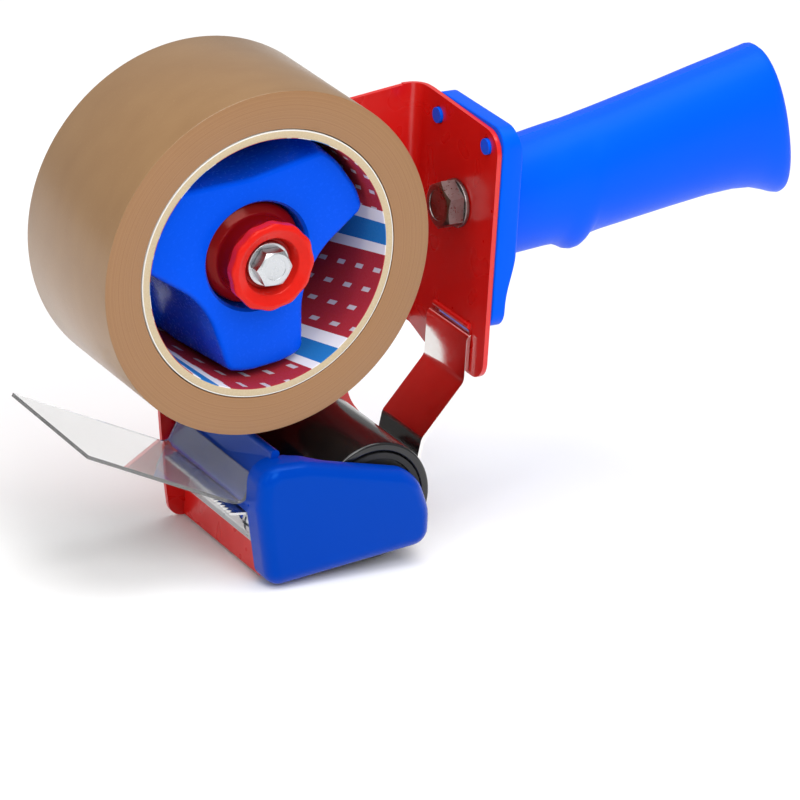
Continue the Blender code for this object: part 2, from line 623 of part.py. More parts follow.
def grip_section(top_x, top_z, bottom_x, bottom_z, half_width, count=28):
    """Oval between a point on the grip's top line and one on its bottom line."""
    centre = Vector(((top_x + bottom_x) / 2, HANDLE_Y, (top_z + bottom_z) / 2))
    up = Vector(((top_x - bottom_x) / 2, 0.0, (top_z - bottom_z) / 2))
    section = []
    for k in range(count):
        angle = 2 * math.pi * k / count
        across, rise = (math.copysign(abs(part) ** (2 / GRIP_FULLNESS), part)
                        for part in (math.cos(angle), math.sin(angle)))
        section.append(centre + Vector((0.0, half_width * across, 0.0)) + up * rise)
    return section


def make_handle():
    flange = rounded([(HANDLE_Y - 21.0, FLANGE_Z[1], 6), (HANDLE_Y - 21.0, FLANGE_Z[0], 6),
                      (HANDLE_Y + 21.0, FLANGE_Z[0], 6), (HANDLE_Y + 21.0, FLANGE_Z[1], 6)], 4)
    front = REAR_X + SHEET + 0.2
    back = 86.6
    layers = [(front, flange), (back - 1.2, flange), (back - 0.35, inset(flange, 0.35)),
              (back, inset(flange, 1.2))]
    item = add("handle", stack("X", layers), "blue_plastic")
    taper = [(83.4, -40.0), (back + 2, -40.0), (back + 2, -10.5), (back - 0.02, -10.5), (83.6, -24.0)]
    cut(item, "flange_taper", prism("Y", taper, -30, 35))
    join(item, "grip", loft([grip_section(*station) for station in GRIP_STATIONS]))
    for k, side in enumerate((-0.5, 0.5)):
        pin = rod("X", HANDLE_Y + side * PIN_SPACING, PIN_Z, PIN_R, REAR_X - 0.9, front + 2, 24)
        join(item, "pin_%d" % k, pin)
    bore = [(0, front - 3), (4.15, front - 3), (4.15, 117.0), (0, 119.0)]
    cut(item, "handle_bore", lathe("X", HANDLE_Y, BOLT_Z, bore, 32))


def make_handle_bolt():
    face = REAR_X - 0.2
    add("handle_washer", ring("X", HANDLE_Y, BOLT_Z, 4.3, 7.4, face - 1.4, face, 32), "dark_steel")
    bolt = add("handle_bolt", rod("X", HANDLE_Y, BOLT_Z, 4.0, face - 2.6, 112.0), "dark_steel")
    start = math.radians(30)
    head = stack("X", [(face - 7.0, hexagon(HANDLE_Y, BOLT_Z, 12.2, start)),
                       (face - 6.5, hexagon(HANDLE_Y, BOLT_Z, 13.0, start)),
                       (face - 1.6, hexagon(HANDLE_Y, BOLT_Z, 13.0, start))])
    join(bolt, "handle_bolt_head", head)


def main():
    clear_scene()
    make_frame()
    make_hub()
    make_brake()
    make_roll()
    make_roller()
    make_guard()
    make_blade()
    make_flap()
    make_lever()
    make_handle()
    make_handle_bolt()


main()
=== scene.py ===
# %% [markdown]
# # A tape gun dispenser
# This notebook dresses a working tape gun: a bent steel frame, a moulded grip, a braked hub with a
# roll of tape, a pressure roller and a guarded blade. The bodies and joints come from the packed
# frame. We load it first and keep its outer box, so that we can check later that nothing grew.

# %% Load the frame
import math

import bmesh
import bpy
from mathutils import Matrix, Vector


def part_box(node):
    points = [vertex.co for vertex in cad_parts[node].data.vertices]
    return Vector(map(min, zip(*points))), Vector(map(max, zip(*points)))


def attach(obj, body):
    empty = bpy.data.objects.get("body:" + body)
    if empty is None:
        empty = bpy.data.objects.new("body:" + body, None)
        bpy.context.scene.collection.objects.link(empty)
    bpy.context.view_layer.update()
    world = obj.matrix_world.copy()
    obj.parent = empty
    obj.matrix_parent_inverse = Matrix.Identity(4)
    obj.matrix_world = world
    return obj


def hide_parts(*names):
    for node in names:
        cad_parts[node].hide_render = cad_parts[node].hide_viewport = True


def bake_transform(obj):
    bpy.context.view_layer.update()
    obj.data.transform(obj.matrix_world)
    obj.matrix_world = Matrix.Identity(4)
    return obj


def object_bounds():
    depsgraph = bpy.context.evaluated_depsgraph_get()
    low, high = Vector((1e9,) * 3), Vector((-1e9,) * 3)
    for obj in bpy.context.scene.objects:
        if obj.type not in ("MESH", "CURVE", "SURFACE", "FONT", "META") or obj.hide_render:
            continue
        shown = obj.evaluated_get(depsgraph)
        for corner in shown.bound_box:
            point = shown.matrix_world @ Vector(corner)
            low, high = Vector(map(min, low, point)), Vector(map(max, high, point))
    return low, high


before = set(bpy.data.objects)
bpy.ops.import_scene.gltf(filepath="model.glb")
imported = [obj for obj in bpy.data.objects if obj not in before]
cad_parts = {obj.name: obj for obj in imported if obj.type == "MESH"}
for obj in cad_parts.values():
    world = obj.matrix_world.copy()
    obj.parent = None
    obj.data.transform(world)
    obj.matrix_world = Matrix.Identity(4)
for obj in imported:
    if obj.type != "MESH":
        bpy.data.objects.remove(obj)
CAD_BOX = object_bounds()
MM = 0.001
tape_low, tape_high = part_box("tape")
ROLL_AXIS = (tape_low + tape_high) / 2

# %% [markdown]
# A sheet-metal worker draws a flat outline first and pulls it into a plate. We do the same. Corners are
# given in millimetres from the roll's axis with a radius each. One face is made from them, and a
# vertex bevel turns each corner into an arc. Drawing the arcs by hand would work too, but the
# bevel keeps the corner list short and readable.

# %% Outlines with rounded corners
ALONG = {"X": Vector((1, 0, 0)), "Y": Vector((0, 1, 0)), "Z": Vector((0, 0, 1))}


def spot(x, y, z):
    """A point given in millimetres from the roll's axis."""
    return ROLL_AXIS + Vector((x, y, z)) * MM


def put(axis, u, v, w):
    """A point drawn across an axis at (u, v), and w along it."""
    return {"X": spot(w, u, v), "Y": spot(u, w, v), "Z": spot(u, v, w)}[axis]


def round_corners(bm, corners, segments):
    """Turn the corners of the only face into arcs of the radii in corners."""
    bm.verts.ensure_lookup_table()
    verts = bm.verts[:]
    for i, (vert, corner) in enumerate(zip(verts, corners)):
        if corner[2] <= 0:
            continue
        here = Vector(corner[:2])
        back = Vector(corners[i - 1][:2]) - here
        ahead = Vector(corners[(i + 1) % len(corners)][:2]) - here
        reach = corner[2] / math.tan(back.angle(ahead) / 2)
        reach = min(reach, 0.49 * back.length, 0.49 * ahead.length)
        bmesh.ops.bevel(bm, geom=[vert], offset=reach * MM, offset_type="ABSOLUTE", segments=segments,
                        profile=0.5, affect="VERTICES", material=-1, clamp_overlap=False)


def outline(axis, corners, w=0.0, segments=8):
    """A flat face across an axis from (u, v, radius) corners."""
    bm = bmesh.new()
    bm.faces.new([bm.verts.new(put(axis, u, v, w)) for u, v, radius in corners])
    round_corners(bm, corners, segments)
    return bm


def new_verts(made):
    """The vertices that an extrusion made."""
    return [item for item in made["geom"] if isinstance(item, bmesh.types.BMVert)]


def plate(axis, corners, low, high, segments=8):
    """An outline pulled into a plate between low and high."""
    bm = outline(axis, corners, low, segments)
    made = bmesh.ops.extrude_face_region(bm, geom=bm.faces[:], use_keep_orig=True)
    bmesh.ops.translate(bm, verts=new_verts(made), vec=ALONG[axis] * (high - low) * MM)
    bmesh.ops.recalc_face_normals(bm, faces=bm.faces[:])
    return bm


def round_rim(bm, axis, w, radius, segments=5):
    """Round the edges that lie in the plane at w."""
    k = "XYZ".index(axis)
    level = put(axis, 0, 0, w)[k]
    rim = [e for e in bm.edges if all(abs(v.co[k] - level) < 1e-6 for v in e.verts)]
    bmesh.ops.bevel(bm, geom=rim, offset=radius * MM, offset_type="OFFSET", segments=segments,
                    profile=0.5, affect="EDGES", material=-1, clamp_overlap=True)


def block(x, y, z):
    """A box between two values on each axis."""
    bm = bmesh.new()
    low = spot(x[0], y[0], z[0])
    high = spot(x[1], y[1], z[1])
    size = Matrix.Diagonal((*(high - low), 1))
    bmesh.ops.create_cube(bm, size=1, matrix=Matrix.Translation((low + high) / 2) @ size)
    return bm


print("outline tools are ready")

# %% [markdown]
# Everything round on this tool was turned or moulded about an axis: the roll, its core, the rollers,
# the knob. We draw half of a section and spin it a full turn, as a lathe does. Merging the first and
# last step closes the seam.

# %% Turned shapes
def turned(axis, u, v, corners, steps=128, segments=4):
    """Spin a half section of (radius, w, corner radius) points about the axis through (u, v)."""
    bm = bmesh.new()
    centre = put(axis, u, v, 0)
    across = ALONG["Z"] if axis != "Z" else ALONG["X"]
    along = ALONG[axis]
    bm.faces.new([bm.verts.new(centre + (across * r + along * w) * MM) for r, w, corner in corners])
    round_corners(bm, corners, segments)
    bmesh.ops.delete(bm, geom=bm.faces[:], context="FACES_ONLY")
    on_axis = [e for e in bm.edges if all((v.co - centre).cross(along).length < 1e-8 for v in e.verts)]
    bmesh.ops.delete(bm, geom=on_axis, context="EDGES")
    bmesh.ops.spin(bm, geom=bm.verts[:] + bm.edges[:], cent=centre, axis=along, angle=2 * math.pi,
                   steps=steps, use_merge=True, use_duplicate=False)
    bmesh.ops.remove_doubles(bm, verts=bm.verts[:], dist=1e-7)
    bmesh.ops.recalc_face_normals(bm, faces=bm.faces[:])
    return bm


def rod(axis, u, v, radius, low, high, steps=64):
    return turned(axis, u, v, [(0, low, 0), (radius, low, 0), (radius, high, 0), (0, high, 0)], steps)


print("lathe is ready")

# %% [markdown]
# Real castings and stampings are cut, drilled and joined. Boolean modifiers do that here, and we settle
# them at once, so that each finished piece is one clean mesh. A narrow bevel then breaks every sharp
# edge, because no real edge is perfectly sharp and a broken edge catches the light.

# %% Cutting, joining and finishing
def solid(name, bm):
    mesh = bpy.data.meshes.new(name)
    bm.to_mesh(mesh)
    bm.free()
    item = bpy.data.objects.new(name, mesh)
    bpy.context.scene.collection.objects.link(item)
    return item


def settle(item):
    """Replace an object's mesh by what its modifiers make of it."""
    bpy.context.view_layer.update()
    made = bpy.data.meshes.new_from_object(item.evaluated_get(bpy.context.evaluated_depsgraph_get()))
    item.modifiers.clear()
    item.data = made


def carve(item, operation, *tools):
    """Cut, join or trim an object with shapes that are used up."""
    helpers = [tool if isinstance(tool, bpy.types.Object) else solid("helper", tool) for tool in tools]
    for helper in helpers:
        step = item.modifiers.new("carve", "BOOLEAN")
        step.operation = operation
        step.solver = "EXACT"
        step.object = helper
    settle(item)
    for helper in helpers:
        bpy.data.objects.remove(helper)
    return item


def finish_piece(item, name, body, finish, nodes=(), edge=0.0, segments=2, angle=32):
    """Shade, bevel and paint a piece, and let it stand for CAD nodes."""
    item.name = name
    item.data.name = name
    item.data.materials.clear()
    item.data.materials.append(finish)
    item.data.shade_smooth()
    item.data.set_sharp_from_angle(angle=math.radians(angle))
    if edge:
        step = item.modifiers.new("broken edges", "BEVEL")
        step.width = edge * MM
        step.segments = segments
        step.limit_method = "ANGLE"
        step.angle_limit = math.radians(angle)
        step.harden_normals = True
    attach(item, body)
    if nodes:
        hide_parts(*nodes)
    print(name, "rides on", body, "with", len(item.data.polygons), "faces")
    return item


# %% [markdown]
# ## Finishes
# Materials are node graphs. Wiring Math nodes by hand is slow to read, so a small class wraps a
# socket and lets Python's own operators add the nodes. Every other node comes from one method.

# %% A small language for shader maths
class Signal:
    """A shader socket that takes part in Python arithmetic."""

    def __init__(self, graph, socket):
        self.graph = graph
        self.socket = socket

    def calc(self, operation, *others):
        inputs = dict(enumerate((self, *others)))
        return self.graph.node("ShaderNodeMath", {"operation": operation}, inputs)

    def __add__(self, other):
        return self.calc("ADD", other)

    __radd__ = __add__

    def __mul__(self, other):
        return self.calc("MULTIPLY", other)

    __rmul__ = __mul__

    def __sub__(self, other):
        return self.calc("SUBTRACT", other)

    def __rsub__(self, other):
        return self * -1 + other

    def __truediv__(self, other):
        return self.calc("DIVIDE", other)

    def __pow__(self, other):
        return self.calc("POWER", other)

    def __gt__(self, other):
        return self.calc("GREATER_THAN", other)

    def __lt__(self, other):
        return self.calc("LESS_THAN", other)


class Finish:
    """One material, with a single method that adds any node to it."""

    def __init__(self, name, constants):
        self.material = bpy.data.materials.new(name)
        self.material.use_nodes = True
        self.tree = self.material.node_tree
        self.shader = self.tree.nodes["Principled BSDF"]
        for socket, value in constants.items():
            self.shader.inputs[socket].default_value = value

    def node(self, kind, settings=None, inputs=None, output=0):
        made = self.tree.nodes.new(kind)
        for key, value in (settings or {}).items():
            if key == "stops":
                ramp = made.color_ramp
                while len(ramp.elements) < len(value):
                    ramp.elements.new(0.5)
                for element, (position, colour) in zip(ramp.elements, value):
                    element.position = position
                    element.color = (*colour, 1)
            else:
                setattr(made, key, value)
        for key, value in (inputs or {}).items():
            self.feed(made.inputs[key], value)
        return Signal(self, made.outputs[output])

    def feed(self, socket, value):
        if isinstance(value, Signal):
            self.tree.links.new(value.socket, socket)
        else:
            socket.default_value = value

    def drive(self, socket, value):
        self.feed(self.shader.inputs[socket], value)

    def place(self, scale=(1, 1, 1), centre=None, turn=(0, 0, 0)):
        """Object coordinates in millimetres, measured from a centre and stretched."""
        centre = ROLL_AXIS if centre is None else centre
        raw = self.node("ShaderNodeTexCoord", output=3)
        moved = self.node("ShaderNodeMapping", {}, {"Vector": raw, "Location": tuple(-c for c in centre)})
        size = tuple(s / MM for s in scale)
        return self.node("ShaderNodeMapping", {}, {"Vector": moved, "Rotation": turn, "Scale": size})

    def noise(self, vector, scale, detail=2.0, roughness=0.5):
        return self.node("ShaderNodeTexNoise", {},
                         {"Vector": vector, "Scale": scale, "Detail": detail, "Roughness": roughness})

    def mix(self, factor, low, high):
        made = self.tree.nodes.new("ShaderNodeMix")
        made.data_type = "RGBA"
        self.feed(made.inputs[0], factor)
        self.feed(made.inputs[6], low)
        self.feed(made.inputs[7], high)
        return Signal(self, made.outputs[2])

    def spread(self, signal, low, high, to_low, to_high):
        """Map a signal from one range to another, without leaving the second."""
        return self.node("ShaderNodeMapRange", {"clamp": True},
                         {"Value": signal, "From Min": low, "From Max": high,
                          "To Min": to_low, "To Max": to_high})

    def bump(self, height, strength, distance=0.05):
        made = self.node("ShaderNodeBump", {}, {"Height": height, "Strength": strength,
                                                "Distance": distance * MM})
        self.drive("Normal", made)


def rgb(red, green, blue):
    return (red, green, blue, 1.0)


print("shader tools are ready")

# %% [markdown]
# The frame is sheet steel under a glossy powder coat. Powder flows a little as it melts, which leaves a
# faint orange-peel surface, and that is what keeps its reflections from looking like glass. A clear
# coat over a saturated red gives the depth.

# %% Red powder coat
def make_powder_coat():
    paint = Finish("red_powder_coat", {"Coat Weight": 0.3, "Coat Roughness": 0.07})
    here = paint.place()
    cloud = paint.noise(here, 0.05, 3)
    peel = paint.noise(here, 0.15, 0)
    paint.drive("Base Color", paint.mix(cloud, rgb(0.60, 0.005, 0.004), rgb(0.68, 0.008, 0.006)))
    paint.drive("Roughness", paint.spread(peel, 0.3, 0.7, 0.27, 0.31))
    paint.bump(peel, 0.05, 0.02)
    return paint.material


POWDER_COAT = make_powder_coat()
print("made", POWDER_COAT.name)

# %% [markdown]
# The guard and the hub are glossy mouldings. Injection-moulded plastic is never optically flat: it sinks
# slightly over thick sections, so we add a long, very shallow wave, and a fine grain above it.

# %% Moulded plastics
def make_moulding(name, dark, light, roughness, grain, grain_scale, tint=(1, 1, 1)):
    plastic = Finish(name, {"Specular IOR Level": 0.3, "Specular Tint": rgb(*tint)})
    here = plastic.place()
    cloud = plastic.noise(here, 0.03, 2)
    wave = plastic.noise(here, 0.09, 1)
    fine = plastic.noise(here, grain_scale, 2)
    plastic.drive("Base Color", plastic.mix(cloud, rgb(*dark), rgb(*light)))
    plastic.drive("Roughness", plastic.spread(fine, 0.3, 0.7, roughness - 0.05, roughness + 0.06))
    plastic.bump(wave * 3.0 + fine * grain, 0.12, 0.04)
    return plastic.material


BLUE_TINT = (0.05, 0.35, 1.0)
# painted shade: the guard's blue is a darker copy of the hub's blue, standing in for the shade on the guard's
# faces
GUARD_BLUE_PAINTED_SHADE = make_moulding("shaded_blue_gloss_moulding", (0.0, 0.040, 0.37), (0.0, 0.045, 0.41), 0.18, 0.10, 0.9,
                           BLUE_TINT)
HUB_BLUE = make_moulding("blue_hub_moulding", (0.0, 0.072, 0.74), (0.0, 0.080, 0.80), 0.24, 0.10, 0.9,
                         BLUE_TINT)
HANDLE_BLUE = make_moulding("blue_satin_grip", (0.0, 0.085, 0.80), (0.0, 0.095, 0.86), 0.40, 0.5, 2.2,
                            BLUE_TINT)
BLACK_MOULDING = make_moulding("black_moulding", (0.010, 0.010, 0.011), (0.018, 0.018, 0.02), 0.40, 0.5, 1.2)


def make_knob_red():
    """Gloss red, with painted shade: the waist behind the finger rim is painted darker."""
    plastic = Finish("red_gloss_moulding", {"Specular IOR Level": 0.3, "Specular Tint": rgb(1.0, 0.35, 0.30)})
    here = plastic.place()
    fine = plastic.noise(here, 0.9, 2)
    depth = plastic.node("ShaderNodeSeparateXYZ", {}, {0: here}, 1)
    rim = plastic.mix(fine, rgb(0.58, 0.012, 0.008), rgb(0.66, 0.016, 0.010))
    # painted shade: the waist behind the rim is painted a dark red, standing in for the shade the light
    # leaves there
    painted_shade_behind_rim = plastic.spread(depth, -24.5, -22.5, 0, 1)
    plastic.drive("Base Color", plastic.mix(painted_shade_behind_rim, rim, rgb(0.20, 0.003, 0.004)))
    plastic.drive("Roughness", plastic.spread(fine, 0.3, 0.7, 0.13, 0.20))
    plastic.bump(fine, 0.05, 0.02)
    return plastic.material


KNOB_RED = make_knob_red()
print("made five mouldings")

# %% [markdown]
# Bare metals differ in how they were finished. Zinc plate is bright and slightly cloudy, nickel on the
# lever is mirror-like with fine scratches along it, and the blade keeps the grain of the
# rolling mill. One recipe makes them all: scratches are noise stretched along one axis.

# %% Bare metals
def make_metal(name, dark, light, roughness, stretch, scratch, bump_strength=0.12):
    metal = Finish(name, {"Metallic": 1.0})
    cloud = metal.noise(metal.place(), 0.25, 3)
    lines = metal.noise(metal.place(scale=stretch), scratch, 3, 0.6)
    metal.drive("Base Color", metal.mix(cloud, rgb(*dark), rgb(*light)))
    metal.drive("Roughness", metal.spread(lines + cloud * 0.5, 0.5, 1.0, roughness * 0.7, roughness * 1.5))
    metal.bump(lines, bump_strength, 0.02)
    return metal.material


ZINC = make_metal("zinc_plate", (0.50, 0.52, 0.54), (0.62, 0.63, 0.65), 0.30, (1, 1, 1), 1.6)
NICKEL = make_metal("nickel_plate", (0.76, 0.73, 0.70), (0.86, 0.84, 0.82), 0.10, (3, 0.25, 0.4), 2.0, 0.05)
DARK_STEEL = make_metal("dark_plated_steel", (0.17, 0.15, 0.15), (0.38, 0.35, 0.34), 0.30,
                        (1, 1, 1), 1.2, 0.2)
BLADE_STEEL = make_metal("blade_steel", (0.50, 0.50, 0.50), (0.70, 0.70, 0.69), 0.28, (3, 0.15, 3), 1.5)
CLAMP_STEEL = make_metal("clamp_plate_steel", (0.70, 0.71, 0.72), (0.84, 0.85, 0.86), 0.34,
                         (0.5, 0.5, 3), 1.0)
print("made five metals")

# %% [markdown]
# The tape is brown film wound hundreds of times. Its side shows the windings as fine rings, and its
# outer face shows the last layer lying on the glue, with pale flecks where air is caught. The distance
# from the axis tells the two apart.

# %% Tape and core
def from_axis(finish):
    """The centred coordinates split up, and the distance from the roll's axis in millimetres."""
    here = finish.place()
    x = finish.node("ShaderNodeSeparateXYZ", {}, {0: here}, 0)
    y = finish.node("ShaderNodeSeparateXYZ", {}, {0: here}, 1)
    z = finish.node("ShaderNodeSeparateXYZ", {}, {0: here}, 2)
    return here, x, y, z, (x * x + z * z) ** 0.5


def make_tape():
    film = Finish("brown_packing_tape", {"Coat Weight": 0.2, "Coat Roughness": 0.16})
    here, x, y, z, radius = from_axis(film)
    windings = film.node("ShaderNodeTexNoise", {"noise_dimensions": "1D"},
                         {"W": radius * 5.0, "Detail": 4.0, "Roughness": 0.75})
    broad = film.node("ShaderNodeTexNoise", {"noise_dimensions": "1D"}, {"W": radius * 0.55, "Detail": 1.0})
    patch = film.noise(here, 0.05, 3)
    side = film.mix(film.spread(windings * 0.6 + broad * 0.4, 0.35, 0.65, 0, 1),
                    rgb(0.25, 0.116, 0.040), rgb(0.325, 0.162, 0.062))
    angle = film.node("ShaderNodeMath", {"operation": "ARCTAN2"}, {0: z, 1: x})
    around = film.node("ShaderNodeCombineXYZ", {}, {0: angle * 52.4, 1: y * 2.2, 2: radius})
    flecks = film.noise(around, 0.8, 4, 0.7)
    streaks = film.noise(around, 0.06, 2)
    outer = film.mix(film.spread(streaks + patch * 0.4, 0.45, 0.95, 0, 1),
                     rgb(0.25, 0.136, 0.057), rgb(0.275, 0.154, 0.066))
    outer = film.mix(film.spread(flecks, 0.60, 0.74, 0, 0.40), outer, rgb(0.39, 0.245, 0.120))
    on_outside = radius > 52.25
    film.drive("Base Color", film.mix(on_outside, side, outer))
    film.drive("Roughness", film.spread(windings + on_outside * 2.0 + flecks, 0.8, 3.2, 0.46, 0.30))
    film.bump(windings * (1 - on_outside) * 1.6 + (flecks * 0.8 + patch * 1.5) * on_outside, 0.5, 0.05)
    return film.material


def make_core():
    """Kraft board with a pale rim, and plain diagonal bands printed inside."""
    board = Finish("printed_core_board", {"Specular IOR Level": 0.35})
    here, x, y, z, radius = from_axis(board)
    fibre = board.noise(here, 1.6, 4, 0.7)
    layers = board.node("ShaderNodeTexNoise", {"noise_dimensions": "1D"}, {"W": radius * 3.0, "Detail": 3.0})
    kraft = board.mix(board.spread(layers * 0.5 + fibre * 0.5, 0.3, 0.7, 0, 1),
                      rgb(0.42, 0.32, 0.19), rgb(0.60, 0.50, 0.34))
    rim = board.mix(radius > 40.35, kraft, rgb(0.70, 0.69, 0.66))
    angle = board.node("ShaderNodeMath", {"operation": "ARCTAN2"}, {0: z, 1: x})
    run = angle * 38.1 + y * 0.22 + 117.0
    phase = (run / 41.0).calc("FRACT")
    white = rgb(0.74, 0.73, 0.76)
    red = rgb(0.36, 0.018, 0.030)
    blue = rgb(0.010, 0.16, 0.46)
    across = ((y + run * 0.35) / 9.5).calc("FRACT")
    row = (run / 6.3).calc("FRACT")
    dash = (across > 0.28) * (across < 0.66) * (row > 0.40) * (row < 0.62)
    panel = board.mix(dash, red, rgb(0.52, 0.46, 0.50))
    print_ = board.mix(phase > 0.66, panel, white)
    print_ = board.mix((phase > 0.735) * (phase < 0.90), print_, blue)
    board.drive("Base Color", board.mix(radius > 38.3, print_, rim))
    board.drive("Roughness", board.spread(fibre, 0.3, 0.7, 0.45, 0.8))
    board.bump(fibre, 0.3, 0.04)
    return board.material


TAPE_FILM = make_tape()
CORE_BOARD = make_core()
print("made", TAPE_FILM.name, "and", CORE_BOARD.name)

# %% [markdown]
# The pressure roller is smooth black rubber that has been polished by use, and the flap is clear PVC.
# Clear plastic is best done with real transmission and a real thickness: the bright and dark edges of a
# sheet are refraction, and no flat transparency gives them.

# %% Rubber, clear sheet and fibre
def make_rubber():
    rubber = Finish("black_roller_rubber", {"Specular IOR Level": 0.55})
    here = rubber.place(scale=(1, 0.2, 1))
    scuff = rubber.noise(here, 0.6, 4, 0.65)
    rubber.drive("Base Color", rubber.mix(scuff, rgb(0.004, 0.004, 0.005), rgb(0.012, 0.012, 0.013)))
    rubber.drive("Roughness", rubber.spread(scuff, 0.3, 0.7, 0.12, 0.22))
    rubber.bump(scuff, 0.12, 0.04)
    return rubber.material


def make_clear_sheet():
    sheet = Finish("clear_sheet_plastic", {"Transmission Weight": 0.9, "IOR": 1.49})
    here = sheet.place()
    haze = sheet.noise(here, 0.12, 4, 0.6)
    sheet.drive("Base Color", sheet.mix(haze, rgb(0.95, 0.955, 0.95), rgb(0.97, 0.975, 0.97)))
    sheet.drive("Roughness", sheet.spread(haze, 0.4, 0.75, 0.01, 0.07))
    sheet.bump(sheet.noise(here, 0.04, 1), 0.15, 0.2)
    return sheet.material


def make_fibre():
    fibre = Finish("pressed_fibre", {"Specular IOR Level": 0.3})
    fluff = fibre.noise(fibre.place(), 1.5, 5, 0.7)
    fibre.drive("Base Color", fibre.mix(fluff, rgb(0.09, 0.05, 0.03), rgb(0.24, 0.15, 0.09)))
    fibre.drive("Roughness", fibre.spread(fluff, 0.3, 0.7, 0.75, 0.95))
    fibre.bump(fluff, 0.5, 0.1)
    return fibre.material


RUBBER = make_rubber()
CLEAR_SHEET = make_clear_sheet()
FIBRE = make_fibre()
print("made rubber, clear sheet and fibre")

# %% [markdown]
# ## The roll
# The tape is a thick ring with barely broken edges, the core a thin tube inside it. Both are spun with
# many steps, because the eye is quick to find a flat facet on such a large circle.

# %% Tape and core pieces
TAPE_R = 52.4
TAPE_INNER_R = 41.0
CORE_R = 40.7
CORE_BORE_R = 38.1
HALF_WIDTH = 25.0


def ring_section(inner, outer, low, high, corner):
    return [(inner, low, corner), (outer, low, corner), (outer, high, corner), (inner, high, corner)]


tape = solid("tape_roll", turned("Y", 0, 0, ring_section(TAPE_INNER_R, TAPE_R, -HALF_WIDTH, HALF_WIDTH, 0.22),
                                 256, 3))
finish_piece(tape, "tape_roll", "roll", TAPE_FILM, ["tape"], angle=50)
core = solid("core_tube", turned("Y", 0, 0, ring_section(CORE_BORE_R, CORE_R, -HALF_WIDTH, HALF_WIDTH, 0.15),
                                 256, 2))
finish_piece(core, "core_tube", "roll", CORE_BOARD, ["core"], angle=50)

# %% [markdown]
# ## The hub
# The hub is a hollow moulding with three lobes that grip the core. It is slimmer at its face than at its
# back, as anything is that has to leave a mould, so we bridge a small outline to a large one. The face
# has a round pocket that the brake knob sinks into, and the back is open.

# %% Hub
HUB_R = 37.7
HUB_FACE = -18.0
HUB_BACK = 26.2
HUB_DRAFT = 2.2
LOBE_MIDDLES = (36.5, 160.5, 278.0)
LOBE_HALF = 22.0
WAIST_DEPTHS = (26.6, 22.6, 18.6)
WALL = 2.0


def polar(radius, degrees):
    return (radius * math.cos(math.radians(degrees)), radius * math.sin(math.radians(degrees)))


def hub_corners(step=0.0):
    """The three-lobed outline, moved towards the axis by step."""
    corners = []
    half = LOBE_HALF - 0.6 * math.degrees(step / HUB_R)
    shoulder = (HUB_R - step - 0.2) / math.cos(math.radians(half / 2))
    for middle, depth, gap in zip(LOBE_MIDDLES, WAIST_DEPTHS, (62.0, 58.75, 59.25)):
        corners.append((*polar(HUB_R - step, middle - half), 3.0))
        corners.append((*polar(shoulder, middle - half / 2), 22))
        corners.append((*polar(shoulder, middle + half / 2), 22))
        corners.append((*polar(HUB_R - step, middle + half), 3.0))
        corners.append((*polar(depth - step, middle + gap), 26))
    return corners


def tapered(near_step, near, far_step, far, end):
    """The lobed body: it grows from the near outline to the far one and then runs straight to its end."""
    bm = outline("Y", hub_corners(near_step), near, 12)
    other = outline("Y", hub_corners(far_step), far, 12)
    mesh = bpy.data.meshes.new("far outline")
    other.to_mesh(mesh)
    other.free()
    bm.from_mesh(mesh)
    bpy.data.meshes.remove(mesh)
    bmesh.ops.bridge_loops(bm, edges=bm.edges[:])
    cap = max(bm.faces, key=lambda face: face.calc_center_median().y)
    made = bmesh.ops.extrude_face_region(bm, geom=[cap])
    bmesh.ops.translate(bm, verts=new_verts(made), vec=(0, (end - far) * MM, 0))
    bmesh.ops.recalc_face_normals(bm, faces=bm.faces[:])
    return bm


hub_body = tapered(HUB_DRAFT, HUB_FACE, 0.0, 13.0, HUB_BACK)
round_rim(hub_body, "Y", HUB_FACE, 1.4, 6)
hub = solid("hub", hub_body)
carve(hub, "UNION", plate("Y", hub_corners(-3.8), HUB_BACK - 0.9, HUB_BACK + 0.7, 12))
cup = solid("cup", turned("Y", 0, 0, [(0, HUB_FACE - 2, 0), (18.8, HUB_FACE - 2, 0), (18.5, -5.8, 2.5),
                                      (6.9, -5.8, 1.5), (6.6, 26.9, 0), (0, 26.9, 0)], 96))
hollow = solid("hollow", tapered(HUB_DRAFT + WALL, HUB_FACE + 2.2, WALL, 13.0, HUB_BACK + 6))
carve(hollow, "DIFFERENCE", cup)
carve(hub, "DIFFERENCE", hollow)
pocket = turned("Y", 0, 0, [(0, HUB_FACE - 2, 0), (17.6, HUB_FACE - 2, 0), (17.1, HUB_FACE - 0.05, 0.8),
                            (16.2, HUB_FACE + 1.0, 1.0), (15.9, -8.0, 0.8), (0, -8.0, 0)], 144)
carve(hub, "DIFFERENCE", pocket, rod("Y", 0, 0, 3.07, -30, 40, 48))
finish_piece(hub, "hub", "hub", HUB_BLUE, ["hub"], edge=0.35, angle=38)

# %% [markdown]
# ## The brake knob and its bolt
# The red knob screws in on the spindle and squeezes a spring, which slows the hub. Its front rim has
# twelve soft waves for the fingers. We turn the shape and then push the rim in and out by a
# cosine of the angle. The bolt head is a hexagon trimmed by a cone, which leaves the curved
# chamfers that real heads have.

